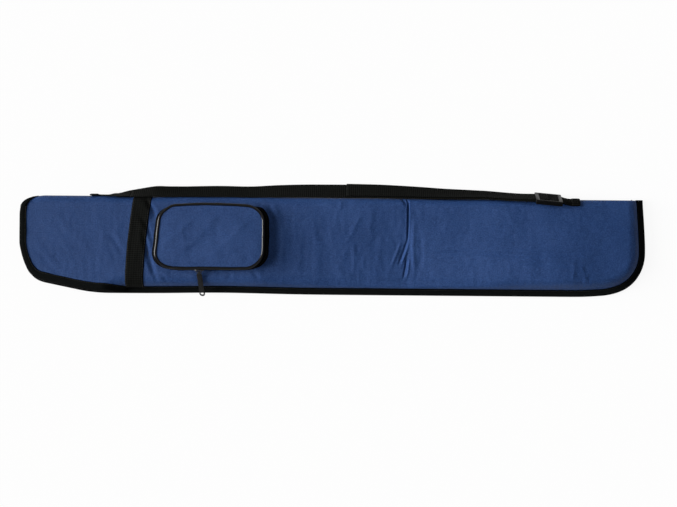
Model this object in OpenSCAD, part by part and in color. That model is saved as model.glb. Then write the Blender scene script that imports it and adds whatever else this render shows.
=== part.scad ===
// Slim padded carry case lying on its back: a folded cloth and foam body with bound edges,
// a zipped mouth flap at the left end, a zipped pocket, a webbing band and a shoulder strap.
// Millimetres. +X runs from the mouth to the closed end, +Y to the folded edge, +Z out of the front.

/* [Case] */
// Overall length over the bindings
case_l = 850; // [700:10:1000]
// Overall width from the folded edge to the bound edge
case_w = 132; // [120:1:170]
// Overall thickness of the empty case, without the pocket
case_h = 24; // [22:0.5:32]
// Radius of the closed end's lower corner, in plan
end_r = 60; // [50:1:70]
// Radius of the mouth's lower corner, in plan
mouth_r = 40; // [30:1:45]
// Radius of the mouth's upper corner, in plan
top_r = 8; // [4:0.5:11]
// How far the bound edge rises towards the mouth
mouth_rise = 20; // [12:0.5:24]
// Length over which the bound edge rises
mouth_rise_l = 98; // [90:1:130]
// Radius where the slope runs into the bottom edge
slope_r = 220; // [60:10:260]

/* [Laminate] */
// Thickness of the outer cloth
cloth_t = 0.8; // [0.5:0.1:1.2]
// Thickness of the foam padding
foam_t = 3.1; // [2:0.1:4]
// Thickness of the lining
lining_t = 0.6; // [0.4:0.1:1]
// Radius of the padded roll above the bound edge
roll_r = 16; // [12:0.5:18]

/* [Bindings] */
// Visible width of the binding tape
bind_w = 11; // [8:0.5:14]
// Thickness of the binding tape
bind_t = 0.8; // [0.5:0.1:1.2]

/* [Mouth] */
// Distance from the left end to the zip's lower end
mouth_l = 139; // [125:1:150]
// How far the flap's edge is set in from the bound edge
flap_set_in = 5; // [2:0.5:7]
// How far the flap's edge is set in from the left end
flap_end_in = 1; // [0.5:0.5:3]
// Depth of the zip wall under the flap's edge, along the bound edge
wall_in = 8; // [7:0.5:9]
// Depth of the zip wall under the flap's edge, at the left end
wall_end_in = 7; // [6.5:0.5:8]
// Distance from the folded edge to the mouth slider's parked centre
mouth_slider_y = 60; // [50:1:66]
// Length of the mouth zip's pull
mouth_pull_l = 8; // [6:0.5:8]

/* [Zips] */
// Thickness of the zip tapes
tape_t = 0.8; // [0.5:0.1:1]
// Width of one row of the zip coil, across the tape
coil_w = 2.4; // [1.8:0.1:3]
// Height of one row of the zip coil
coil_h = 1.4; // [1:0.1:1.6]
// Gap between the two rows of a zip coil
coil_gap = 1.4; // [1.2:0.1:2]
// Length of a slider
slider_l = 10; // [8:0.5:12]
// Height of a slider across the two tapes
slider_h = 8; // [6.5:0.5:8]
// Thickness of a slider's plates
plate_t = 1.2; // [0.8:0.1:1.6]
// Clearance between a slider's plates and the coil
slider_clear = 0.9; // [0.6:0.1:1.2]
// Radius of the bar that a pull hangs on
bar_r = 0.7; // [0.5:0.05:0.9]
// Radial clearance of a pull on its bar
bar_clear = 0.2; // [0.1:0.05:0.3]

/* [Band] */
// Width of the webbing band and of the shoulder strap
web_w = 25; // [20:1:30]
// Thickness of the webbing
web_t = 1.2; // [0.8:0.1:1.4]
// Gap between the mouth flap's lower end and the band
band_gap = 4; // [3:0.5:10]
// Lean of the band towards the closed end at its top
band_lean = 5; // [0:0.5:6]

/* [Pocket] */
// Width of the lid between its piping's centre lines
lid_w = 142; // [110:1:150]
// Height of the lid between its piping's centre lines
lid_h = 85; // [70:1:86]
// Gap between the band and the centre line of the lid's piping
pocket_gap = 20.5; // [16:0.5:40]
// Corner radius of the lid's piping
lid_r = 18; // [12:0.5:24]
// Diameter of the piping
pipe_d = 4; // [3:0.1:5]
// Thickness of the lid
lid_t = 1.6; // [1:0.1:2.4]
// Height of the piping's centre above the front
pocket_d = 11; // [10.5:0.5:14]
// Width of the tape sewn flat to the front round the pocket
flange_w = 8; // [5:0.5:9]
// Distance from the lid's left side to the parked slider's centre
pocket_slider_x = 56; // [40:1:90]
// Length of the pocket pull's tab
pull_l = 25.5; // [16:0.5:28]
// Width of the pocket pull's tab
pull_w = 7; // [6:0.5:10]
// Thickness of the pulls
pull_t = 1.2; // [0.8:0.1:1.6]
// Outer radius of the ring at the pull's end
ring_r = 3.2; // [2.6:0.1:4]
// Bore radius of the ring at the pull's end
ring_bore_r = 1.6; // [1:0.1:1.8]

/* [Strap] */
// Distance from the left end to the strap's left end
strap_left = 106; // [85:1:110]
// Distance from the right end to the strap's right end
strap_right = 104; // [80:1:110]
// Angle at which the strap leans on the fold along its middle
strap_rest = 43; // [35:1:50]
// Angle at which it leans on the fold at its right end
strap_lean = 68; // [50:1:80]
// Distance from the right end to the end of the strap's doubled tail
tail_end = 408; // [300:1:500]
// Length of the sewn tabs
tab_l = 11; // [8:0.5:16]
// Distance from the right end to the adjuster's centre
adjuster_x = 135; // [125:1:145]
// Length of the adjuster along the strap
adjuster_l = 36; // [30:1:40]
// Width of the adjuster's bars
adjuster_bar = 5; // [4:0.5:7]
// Thickness of the adjuster's bars
adjuster_t = 1.5; // [1:0.1:2]

/* [Hidden] */
$fn = 48;
clear = 0.3;
seam = 0.1;
big = 2000;
half = case_l / 2;
hw = case_w / 2;
lam = cloth_t + foam_t + lining_t;
fold_r = case_h / 2;
fold_y = hw - fold_r;

// Heights of the stacked edges under the bindings
margin_z = bind_t + cloth_t;
edge_h = 2 * bind_t + cloth_t + lining_t;
body_flange_z = margin_z + lining_t;
body_edge_h = body_flange_z + cloth_t + bind_t;
riser = [1, 2, 2.3, 3];

// Plan outline, anticlockwise from the upper left corner: left, slope, bottom, right and top edges
outline = [
    [-half, hw],
    [-half, mouth_rise - hw],
    [mouth_rise_l - half, -hw],
    [half, -hw],
    [half, hw]
];
outline_r = [top_r, mouth_r, slope_r, end_r, bind_t];
outline_steps = 10;

// Line that the mouth flap folds about, between the two ends of the zip
flap_p1 = [-half, fold_y - 1];
flap_p2 = [mouth_l - half, bind_w - hw];
flap_dir = (flap_p2 - flap_p1) / norm(flap_p2 - flap_p1);
flap_side = [flap_dir[1], -flap_dir[0]];
flap_open = 0.4;
flap_lip_end = 3;

// Zip walls
mouth_mid = case_h / 2;
mouth_wall = [wall_end_in, wall_in, wall_in];
mouth_wall_x = -half + wall_end_in + tape_t / 2;
mouth_slider_at = hw - mouth_slider_y;
band_x = mouth_l - half + band_gap;
pocket_cx = band_x + web_w + pocket_gap + lid_w / 2;
pocket_cy = fold_y - lid_h / 2;
pipe_z = case_h + pocket_d;
pipe_r = pipe_d / 2;
pocket_top = pipe_z - pipe_r;
lid_wall_h = 1;
pocket_mid = pocket_top - lid_wall_h - coil_h - coil_gap / 2;
pocket_wall_y = pocket_cy - lid_h / 2;
pocket_slider_at = pocket_cx - lid_w / 2 + pocket_slider_x;
zip_end = 4;

// Sliders and pulls
slider_in = coil_w / 2 + slider_clear;
slider_out = slider_in + plate_t;
slider_tail = 0.65;
web_l = 2.5;
web_h = coil_gap - 2 * clear;
eye_wall = 0.7;
eye_r = bar_r + bar_clear + eye_wall;
pull_root = 0.2;
bar_y = slider_out + eye_r + clear;
eye_l = 3.4;
lug_t = 1.1;
lug_x = eye_l / 2 + clear;

// The pocket pull droops from its bar as far as the front's rolled edge lets it
pull_gap = 1.5;
pull_over = [pocket_wall_y - bar_y - (bind_w - hw + roll_r), pocket_mid - (case_h - roll_r)];
pull_droop = atan2(pull_over[1], pull_over[0]) - asin((roll_r + pull_t / 2 + pull_gap) / norm(pull_over));

// Webbing band
band_seam_z = body_edge_h + seam;
band_back_z = 8;

// Turn of the binding over the left end of the fold, from below
fold_end_from = -60;
fold_end_turn = 150;

// Strap: it leans on the fold with its outer edge on the floor, and stands upright at its left end
strap_x0 = strap_left - half;
strap_x1 = half - strap_right;
strap_stand = 90;
// Distances from the strap's ends between which it turns from the lean of its middle, comes close to
// the fold and rises onto it
turn_l = [25, 259];
turn_power = 4;
close_l = [79, 140];
turn_r = [59, 236];
rise_r = [59, 120];
strap_rings = 90;
tail_w = web_w - 3;
tail_shift = (web_w - tail_w) / 2;
tail_x0 = half - tail_end;
tail_x1 = half - adjuster_x;
strap_places = [for (i = [0 : strap_rings]) strap_x0 + (strap_x1 - strap_x0) * i / strap_rings];
ring_gap = 1;
tail_places = concat(
    [tail_x0],
    [for (x = strap_places) if (x > tail_x0 + ring_gap && x < tail_x1 - ring_gap) x],
    [tail_x1]
);
// Clearances between the strap and the fold, and heights of its lower edge above the floor
stand_gap = 2.2;
rest_gap = 0.2;
lean_gap = 2 * clear + adjuster_t;
stand_lift = 1.4;
lean_lift = 8;
tail_lift = 0.35;
// Turns of the sewn tabs round the fold, from and to
left_tab_turn = [-60, 20];
right_tab_turn = [15, 80];

// Plan outlines
function meet(p, u, q, v) = p + u * cross(q - p, v) / cross(u, v);
function edge_dir(pts, i) =
    let (a = pts[i], b = pts[(i + 1) % len(pts)])
    (b - a) / norm(b - a);
function inside(u) = [-u[1], u[0]];
function set_in(pts, depths) = [
    for (i = [0 : len(pts) - 1])
        let (k = (i + len(pts) - 1) % len(pts), u = edge_dir(pts, k), v = edge_dir(pts, i))
        meet(pts[i] + inside(u) * depths[k], u, pts[i] + inside(v) * depths[i], v)
];
function arc(centre, r, from, turn, steps) = [
    for (j = [0 : steps])
        centre + r * [cos(from + turn * j / steps), sin(from + turn * j / steps)]
];
function rounded(pts, radii, steps) = [
    for (i = [0 : len(pts) - 1])
        let (
            v = pts[i],
            u1 = -edge_dir(pts, (i + len(pts) - 1) % len(pts)),
            u2 = edge_dir(pts, i),
            bend = acos(u1 * u2) / 2,
            middle = (u1 + u2) / norm(u1 + u2),
            centre = v + middle * radii[i] / sin(bend),
            first = v + u1 * radii[i] / tan(bend) - centre
        )
        each arc(centre, radii[i], atan2(first[1], first[0]), 180 - 2 * bend, steps)
];
function corner_radii(depths) = [
    for (i = [0 : len(outline_r) - 1])
        let (k = (i + len(outline_r) - 1) % len(outline_r))
        max(outline_r[i] - max(depths[i], depths[k]), clear)
];
// Depths in from the left, slope, bottom, right and top edges, plus one depth for all the bound ones
function edges(base, more) = [base[0] + more, base[1] + more, base[2] + more, more, 0];

module plan(base, more) {
    depths = edges(base, more);
    polygon(rounded(set_in(outline, depths), corner_radii(depths), outline_steps));
}

// A flat layer between two heights, and a strip of it between two depths, both kept to a zone
module sheet(z0, z1, base, depth) {
    translate([0, 0, z0]) linear_extrude(z1 - z0) intersection() {
        plan(base, depth);
        children();
    }
}
module strip(z0, z1, base, depth0, depth1) {
    translate([0, 0, z0]) linear_extrude(z1 - z0) intersection() {
        difference() {
            plan(base, depth0);
            plan(base, depth1);
        }
        children();
    }
}

// Zones in plan: the flat back, the mouth's part of it, and the flap
module back_zone() {
    translate([-big, -big]) square([2 * big, big + fold_y]);
}
module mouth_zone() {
    translate([-big, -big]) square([big + flap_p2[0], big + fold_y]);
}
module flap_zone(gap) {
    p1 = flap_p1 + flap_side * gap;
    p2 = flap_p2 + flap_side * gap;
    polygon([
        p1 - flap_dir * big,
        p2,
        [p2[0], -big],
        [-big, -big]
    ]);
}

// One bound panel, outer face at height 0 and growing inwards
module panel_cover(base) {
    sheet(0, cloth_t, base, bind_w + riser[0]) children();
    strip(0, margin_z, base, bind_w + riser[0], bind_w + riser[1]) children();
    strip(bind_t, margin_z, base, bind_t, bind_w + riser[1]) children();
}
module panel_padding(base) {
    sheet(cloth_t, cloth_t + foam_t, base, bind_w + riser[3]) children();
}
module panel_lining(base) {
    inner = riser[2] + lining_t;
    sheet(lam - lining_t, lam, base, bind_w + riser[2]) children();
    strip(margin_z, lam, base, bind_w + riser[2], bind_w + inner) children();
    strip(margin_z, margin_z + lining_t, base, bind_t, bind_w + inner) children();
}
module panel_binding(base) {
    strip(0, bind_t, base, 0, bind_w) children();
    strip(0, edge_h, base, 0, bind_t) children();
    strip(edge_h - bind_t, edge_h, base, 0, bind_w) children();
}

// Solid under the front's surface, sunk by a depth: a half round fold, a flat top,
// and a quarter round roll down to the bound edge and the closed end
module roll_section(depth, reach) {
    translate([depth, 0]) square([roll_r - depth, case_h - roll_r]);
    translate([roll_r, 0]) square([reach - roll_r, case_h - depth]);
    intersection() {
        translate([roll_r, case_h - roll_r]) circle(roll_r - depth);
        translate([depth - roll_r, case_h - roll_r]) square([2 * roll_r - depth, roll_r - depth]);
    }
}
module rolled_solid(depth) {
    corner_x = half - end_r;
    corner_y = end_r - hw;
    reach = end_r - bind_w;
    translate([-half, bind_w - hw, 0]) rotate([90, 0, 90])
        linear_extrude(corner_x + half) roll_section(depth, case_w);
    translate([corner_x, corner_y, 0]) rotate([0, 0, -90])
        rotate_extrude(angle = 90) translate([reach, 0]) mirror([1, 0]) roll_section(depth, reach);
    translate([half - bind_w, hw + roll_r, 0]) rotate([90, 0, 0])
        linear_extrude(hw + roll_r - corner_y) mirror([1, 0]) roll_section(depth, reach);
}
module folded_solid(depth) {
    translate([-half, 0, 0]) rotate([90, 0, 90]) linear_extrude(case_l) {
        translate([fold_y, fold_r]) circle(fold_r - depth);
        translate([-hw, 0]) square([hw + fold_y, case_h - depth]);
    }
}
module pillow(depth) {
    intersection() {
        rolled_solid(depth);
        folded_solid(depth);
    }
}
module front_layer(depth0, depth1, foot_z) {
    difference() {
        pillow(depth0);
        pillow(depth1);
        translate([-big, fold_y - big, -big]) cube([2 * big, big, big + foot_z]);
        translate([0, 0, -big]) linear_extrude(2 * big) flap_zone(0);
        translate([-half - big + bind_t, -big, -big]) cube([big, 2 * big, 2 * big]);
    }
}

// Body
module back_cover() {
    color("midnightblue") panel_cover([0, 0, 0]) back_zone();
}
module back_padding() {
    color("dimgray") panel_padding([0, 0, 0]) back_zone();
}
module back_lining() {
    color("black") panel_lining([0, 0, 0]) back_zone();
}
// A section, drawn inwards from the outer edge, swept along the body's bound edge
module body_edge() {
    start = flap_p2[0] + clear;
    translate([start, -hw, 0]) rotate([90, 0, 90]) linear_extrude(half - end_r - start) children();
    translate([half - end_r, end_r - hw, 0]) rotate([0, 0, -90])
        rotate_extrude(angle = 90) translate([end_r, 0]) mirror([1, 0]) children();
    translate([half, fold_y, 0]) rotate([90, 0, 0])
        linear_extrude(fold_y + hw - end_r) mirror([1, 0]) children();
}
module front_cover() {
    color("navy") {
        front_layer(0, cloth_t, body_flange_z);
        body_edge() translate([bind_t, body_flange_z]) square([bind_w - bind_t + cloth_t / 2, cloth_t]);
    }
}
module front_padding() {
    color("dimgray") front_layer(cloth_t, cloth_t + foam_t, lam + seam);
}
module front_lining() {
    color("black") front_layer(cloth_t + foam_t, lam, lam + seam);
}
module binding_section() {
    difference() {
        square([bind_w, body_edge_h]);
        translate([bind_t, bind_t]) square([bind_w, body_edge_h - 2 * bind_t]);
    }
}
module body_binding() {
    color("black") body_edge() binding_section();
}
// A strip of webbing that follows the front's surface
module wrapped_web(x, length, thickness, from_y, foot_z, back_z, lean) {
    intersection() {
        difference() {
            pillow(-thickness);
            pillow(0);
        }
        translate([x, from_y, 0]) rotate([0, 0, -lean])
            translate([0, -big, 0]) cube([length, 2 * big, 2 * big]);
        union() {
            translate([-big, from_y, foot_z]) cube([2 * big, fold_y - from_y, big]);
            translate([-big, fold_y, back_z]) cube([2 * big, big, big]);
        }
    }
}
module webbing_band() {
    color("black") wrapped_web(band_x, web_w, web_t, -hw, band_seam_z, band_back_z, band_lean);
}

// Mouth
module mouth_binding() {
    color("black") panel_binding([0, 0, 0]) mouth_zone();
}
module fold_end_binding() {
    inner_r = fold_r - lam - bind_t;
    outer_r = fold_r + bind_t;
    color("black") translate([-half, fold_y, fold_r]) rotate([90, 0, 90]) rotate([0, 0, fold_end_from])
        rotate_extrude(angle = fold_end_turn) difference() {
            translate([inner_r, 0]) square([outer_r - inner_r, bind_w]);
            translate([fold_r - lam, bind_t]) square([lam, bind_w]);
        }
}
module wall(z0, z1, thickness) {
    strip(z0, z1, mouth_wall, (tape_t - thickness) / 2, (tape_t + thickness) / 2) children();
}
module mouth_zip_tape() {
    color("black") wall(edge_h, mouth_mid - coil_gap / 2 - coil_h, tape_t) zip_zone();
}
module mouth_zip_coil() {
    color("black") wall(mouth_mid - coil_gap / 2 - coil_h, mouth_mid - coil_gap / 2, coil_w) zip_zone();
}
module zip_zone() {
    translate([-big, -big]) square([big + flap_p2[0] - zip_end, big + flap_p1[1] - zip_end]);
}
module mouth_zip_stops() {
    z0 = mouth_mid - coil_gap / 2 - coil_h;
    color("black") {
        translate([-half + wall_end_in + tape_t / 2, flap_p1[1] - zip_end, z0])
            linear_extrude(coil_h) translate([-coil_w / 2, 0]) square([coil_w, zip_end - 1]);
        wall(z0, z0 + coil_h, coil_w)
            translate([flap_p2[0] - zip_end, -big]) square([zip_end - 1, big]);
    }
}
module flap_frame() {
    translate([0, 0, case_h]) mirror([0, 0, 1]) children();
}
module flap_cover() {
    color("navy") flap_frame() panel_cover([flap_end_in, flap_set_in, flap_set_in]) flap_zone(flap_open);
}
module flap_padding() {
    color("dimgray") flap_frame() panel_padding([flap_end_in, flap_set_in, flap_set_in])
        flap_zone(flap_open);
}
module flap_lining() {
    color("black") flap_frame() panel_lining([flap_end_in, flap_set_in, flap_set_in])
        flap_zone(flap_open);
}
module flap_binding() {
    color("black") flap_frame() panel_binding([flap_end_in, flap_set_in, flap_set_in])
        flap_zone(flap_lip_end);
}
module flap_zip_tape() {
    color("black") wall(mouth_mid + coil_gap / 2 + coil_h, case_h - edge_h, tape_t) flap_zone(flap_lip_end);
}
module flap_zip_coil() {
    color("black") wall(mouth_mid + coil_gap / 2, mouth_mid + coil_gap / 2 + coil_h, coil_w)
        flap_zone(flap_lip_end);
}

// Zip slider on a wall that runs along X, its outer face towards +Y, and the bar for its pull
module slider_plate() {
    tail_h = slider_h * slider_tail;
    polygon([
        [-slider_l / 2, -tail_h / 2],
        [slider_l / 2 - slider_h / 4, -slider_h / 2],
        [slider_l / 2, -slider_h / 4],
        [slider_l / 2, slider_h / 4],
        [slider_l / 2 - slider_h / 4, slider_h / 2],
        [-slider_l / 2, tail_h / 2]
    ]);
}
module zip_slider() {
    for (y = [slider_in, -slider_out])
        translate([0, y + plate_t, 0]) rotate([90, 0, 0]) linear_extrude(plate_t) slider_plate();
    translate([slider_l / 2 - web_l - clear, -slider_in, -web_h / 2]) cube([web_l, 2 * slider_in, web_h]);
    translate([-lug_x - lug_t, bar_y, 0]) rotate([0, 90, 0]) cylinder(r = bar_r, h = 2 * (lug_x + lug_t));
    for (x = [-lug_x - lug_t, lug_x])
        translate([x, slider_out, -bar_r]) cube([lug_t, bar_y - slider_out, 2 * bar_r]);
}
// Pull along +Y from its bar, which lies on X at the origin
module pull_eye() {
    translate([-eye_l / 2, 0, 0]) rotate([0, 90, 0]) difference() {
        cylinder(r = eye_r, h = eye_l);
        translate([0, 0, -clear]) cylinder(r = bar_r + bar_clear, h = eye_l + 2 * clear);
    }
}
module pull_tab(length, width, tip_w) {
    start = bar_r + bar_clear + pull_root;
    translate([0, 0, -pull_t / 2]) linear_extrude(pull_t) polygon([
        [-eye_l / 2, start],
        [eye_l / 2, start],
        [width / 2, start + width / 3],
        [width / 2, length - width / 4],
        [tip_w / 2, length],
        [-tip_w / 2, length],
        [-width / 2, length - width / 4],
        [-width / 2, start + width / 3]
    ]);
}
module mouth_slider_place() {
    translate([mouth_wall_x, mouth_slider_at, mouth_mid]) rotate([0, 0, 90]) children();
}
module pocket_slider_place() {
    translate([pocket_slider_at, pocket_wall_y, pocket_mid]) rotate([0, 0, 180]) children();
}
module mouth_zip_slider() {
    color("black") mouth_slider_place() zip_slider();
}
module mouth_zip_pull() {
    color("black") mouth_slider_place() translate([0, bar_y, 0]) rotate([-90, 0, 0]) {
        pull_eye();
        pull_tab(mouth_pull_l, eye_l + 2, eye_l);
    }
}

// Pocket
module lid_outline(more) {
    x = lid_w / 2 + more;
    y = lid_h / 2 + more;
    pts = [[-x, y], [-x, -y], [x, -y], [x, y]];
    r = max(lid_r + more, clear);
    translate([pocket_cx, pocket_cy]) polygon(rounded(pts, [r, r, r, r], outline_steps));
}
module lid_ring(z0, z1, thickness, top_y) {
    translate([0, 0, z0]) linear_extrude(z1 - z0) intersection() {
        difference() {
            lid_outline(thickness / 2);
            lid_outline(-thickness / 2);
        }
        translate([-big, top_y - big]) square([2 * big, big]);
    }
}
module pocket_base_tape() {
    wall_top = pocket_mid - coil_gap / 2 - coil_h;
    color("black") {
        lid_ring(case_h, wall_top, tape_t, fold_y - zip_end);
        translate([0, 0, case_h]) linear_extrude(tape_t) difference() {
            intersection() {
                lid_outline(flange_w);
                translate([-big, fold_y + tape_t - big]) square([2 * big, big]);
            }
            lid_outline(-tape_t / 2);
        }
    }
}
module pocket_zip_coil() {
    z1 = pocket_mid - coil_gap / 2;
    color("black") lid_ring(z1 - coil_h, z1, coil_w, fold_y - lid_r);
}
module pocket_hinge_strip() {
    color("black") translate([pocket_cx - lid_w / 2 + lid_r, fold_y - tape_t / 2, case_h + tape_t])
        cube([lid_w - 2 * lid_r, tape_t, pocket_top - clear - case_h - tape_t]);
}
module pocket_lid() {
    color("navy") translate([0, 0, pipe_z - lid_t / 2]) linear_extrude(lid_t) lid_outline(-pipe_r);
}
module lid_piping() {
    x = lid_w / 2 - lid_r;
    y = lid_h / 2 - lid_r;
    color("black") translate([pocket_cx, pocket_cy, pipe_z]) {
        for (side = [0, 1]) mirror([0, side, 0])
            translate([-x, y + lid_r, 0]) rotate([0, 90, 0]) cylinder(r = pipe_r, h = 2 * x);
        for (side = [0, 1]) mirror([side, 0, 0])
            translate([x + lid_r, y, 0]) rotate([90, 0, 0]) cylinder(r = pipe_r, h = 2 * y);
        for (corner = [[x, y, 0], [-x, y, 90], [-x, -y, 180], [x, -y, 270]])
            translate([corner[0], corner[1], 0]) rotate([0, 0, corner[2]])
                rotate_extrude(angle = 90) translate([lid_r, 0]) circle(pipe_r);
    }
}
module lid_zip_tape() {
    z0 = pocket_mid + coil_gap / 2 + coil_h;
    color("black") lid_ring(z0, pocket_top, tape_t, fold_y - zip_end);
}
module lid_zip_coil() {
    z0 = pocket_mid + coil_gap / 2;
    color("black") lid_ring(z0, z0 + coil_h, coil_w, fold_y - lid_r);
}
module pocket_zip_slider() {
    color("black") pocket_slider_place() zip_slider();
}
module pocket_zip_pull() {
    ring_y = pull_l + ring_r - pull_t;
    color("black") pocket_slider_place() translate([0, bar_y, 0]) rotate([-pull_droop, 0, 0]) {
        pull_eye();
        difference() {
            union() {
                pull_tab(pull_l, pull_w, 2 * ring_r - pull_t);
                translate([0, ring_y, -pull_t / 2]) cylinder(r = ring_r, h = pull_t);
            }
            translate([0, ring_y, -pull_t]) cylinder(r = ring_bore_r, h = 2 * pull_t);
        }
    }
}

// Strap
function share(x, a, b) = min(1, max(0, (x - a) / (b - a)));
function ease(x, a, b) =
    let (t = share(x, a, b))
    t * t * (3 - 2 * t);
function near_left(x, reach) = 1 - ease(x, strap_x0 + reach[0], strap_x0 + reach[1]);
function near_right(x, reach) = ease(x, strap_x1 - reach[1], strap_x1 - reach[0]);
function left_turn(x) = pow(1 - share(x, strap_x0 + turn_l[0], strap_x0 + turn_l[1]), turn_power);
function strap_tilt(x) =
    strap_rest
    + (strap_stand - strap_rest) * left_turn(x)
    + (strap_lean - strap_rest) * near_right(x, turn_r);
function strap_gap(x) =
    rest_gap
    + (stand_gap - rest_gap) * near_left(x, close_l)
    + (lean_gap - rest_gap) * near_right(x, turn_r);
function strap_lift(x) = stand_lift * left_turn(x) + lean_lift * near_right(x, rise_r);
// Centre of the webbing: its lower edge at its height, and its upper edge or its face clear of the fold
function strap_centre(x) =
    let (
        t = strap_tilt(x),
        reach = fold_r + web_t / 2 + strap_gap(x),
        foot_z = seam + strap_lift(x) + web_t / 2 * cos(t),
        top_z = foot_z + web_w * sin(t),
        top_y = top_z < fold_r + reach * cos(t)
            ? sqrt(reach * reach - (top_z - fold_r) * (top_z - fold_r))
            : (reach - cos(t) * (top_z - fold_r)) / sin(t)
    )
    [fold_y + top_y + web_w / 2 * cos(t), foot_z + web_w / 2 * sin(t)];
// Four corners of the webbing at one place along it, shifted across the strap and raised off it
function web_corners(x, width, shift, rise) =
    let (
        a = -strap_tilt(x),
        c = strap_centre(x),
        across = [cos(a), sin(a)],
        up = [-sin(a), cos(a)]
    )
    [
        for (k = [[-1, -1], [1, -1], [1, 1], [-1, 1]])
            let (p = c + across * (shift + k[0] * width / 2) + up * (rise + k[1] * web_t / 2))
            [x, p[0], p[1]]
    ];
module webbing(places, width, shift, rise) {
    rings = len(places) - 1;
    points = [
        for (x = places)
            each web_corners(x, width, shift, rise)
    ];
    sides = [
        for (i = [0 : rings - 1])
            for (k = [0 : 3])
                let (a = 4 * i + k, b = 4 * i + (k + 1) % 4)
                each k == 0
                    ? [[a, a + 4, b + 4], [a, b + 4, b]]
                    : [[a, a + 4, b], [b, a + 4, b + 4]]
    ];
    last = 4 * rings;
    ends = [[0, 1, 2], [0, 2, 3], [last, last + 2, last + 1], [last, last + 3, last + 2]];
    polyhedron(points, concat(sides, ends), convexity = 4);
}
module strap_tab(x, thickness, turn) {
    color("black") translate([x, fold_y, fold_r]) rotate([90, 0, 90]) rotate([0, 0, turn[0]])
        rotate_extrude(angle = turn[1] - turn[0]) translate([fold_r, 0]) square([thickness, tab_l]);
}
module left_strap_tab() {
    strap_tab(strap_x0 - clear - tab_l, stand_gap + web_t, left_tab_turn);
}
module right_strap_tab() {
    strap_tab(strap_x1 + clear, lean_gap + web_t, right_tab_turn);
}
module shoulder_strap() {
    color("black") webbing(strap_places, web_w, 0, 0);
}
module strap_tail() {
    color("black") webbing(tail_places, tail_w, tail_shift, web_t + tail_lift);
}
module strap_adjuster() {
    inner = web_w / 2 + clear;
    outer_face = -web_t / 2 - clear;
    inner_face = web_t * 1.5 + tail_lift + clear;
    at = strap_centre(tail_x1);
    color("black") translate([tail_x1, at[0], at[1]]) rotate([-strap_lean, 0, 0])
        translate([-adjuster_l / 2, 0, 0]) {
            for (y = [-inner - adjuster_bar / 2, inner])
                translate([0, y, outer_face - adjuster_t])
                    cube([adjuster_l, adjuster_bar / 2, inner_face - outer_face + 2 * adjuster_t]);
            for (x = [0, adjuster_l - adjuster_bar])
                translate([x, -inner, inner_face]) cube([adjuster_bar, 2 * inner, adjuster_t]);
            translate([(adjuster_l - adjuster_bar) / 2, -inner, outer_face - adjuster_t])
                cube([adjuster_bar, 2 * inner, adjuster_t]);
        }
}

back_cover();
back_padding();
back_lining();
front_cover();
front_padding();
front_lining();
body_binding();
webbing_band();
mouth_binding();
fold_end_binding();
mouth_zip_tape();
mouth_zip_coil();
mouth_zip_stops();
flap_cover();
flap_padding();
flap_lining();
flap_binding();
flap_zip_tape();
flap_zip_coil();
mouth_zip_slider();
mouth_zip_pull();
pocket_base_tape();
pocket_zip_coil();
pocket_hinge_strip();
pocket_lid();
lid_piping();
lid_zip_tape();
lid_zip_coil();
pocket_zip_slider();
pocket_zip_pull();
left_strap_tab();
right_strap_tab();
shoulder_strap();
strap_tail();
strap_adjuster();
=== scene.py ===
import math

import bpy
from mathutils import Matrix, Vector, noise


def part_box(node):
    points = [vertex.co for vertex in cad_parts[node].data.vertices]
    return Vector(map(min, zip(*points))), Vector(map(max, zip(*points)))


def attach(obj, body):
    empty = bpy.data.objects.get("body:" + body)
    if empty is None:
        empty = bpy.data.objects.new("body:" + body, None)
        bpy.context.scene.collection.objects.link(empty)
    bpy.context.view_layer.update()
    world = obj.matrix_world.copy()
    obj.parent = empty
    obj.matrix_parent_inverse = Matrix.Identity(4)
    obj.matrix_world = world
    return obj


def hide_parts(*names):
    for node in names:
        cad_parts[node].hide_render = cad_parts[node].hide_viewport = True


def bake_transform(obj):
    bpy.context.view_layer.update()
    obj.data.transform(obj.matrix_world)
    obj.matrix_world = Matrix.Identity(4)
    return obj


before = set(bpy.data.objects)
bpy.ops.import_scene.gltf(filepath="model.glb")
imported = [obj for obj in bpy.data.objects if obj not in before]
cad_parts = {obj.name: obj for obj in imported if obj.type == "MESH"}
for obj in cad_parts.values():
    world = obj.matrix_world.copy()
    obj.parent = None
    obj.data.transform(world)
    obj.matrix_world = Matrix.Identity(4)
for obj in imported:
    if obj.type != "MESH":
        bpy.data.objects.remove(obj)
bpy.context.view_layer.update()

# Back panel
# The flat side that the case lies on: navy cloth over foam over black lining, cut to the plan
# outline. Its edges are sewn into binding tape, and at the top it carries on round the fold.
MM = 0.001


def span(node):
    low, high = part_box(node)
    return Vector(low) / MM, Vector(high) / MM


left_end = span("mouth_binding")[0].x
right_end = span("body_binding")[1].x
bound_edge = span("body_binding")[0].y
fold_edge = span("front_cover")[1].y
front_z = span("front_cover")[1].z
fold_radius = front_z / 2
fold_line = fold_edge - fold_radius
binding_width = 9.5
mouth_rise = 20
mouth_rise_length = 98
slope_radius = 220
closed_end_radius = 60
outline_radii = (8, 40, slope_radius, closed_end_radius, 1)


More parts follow.
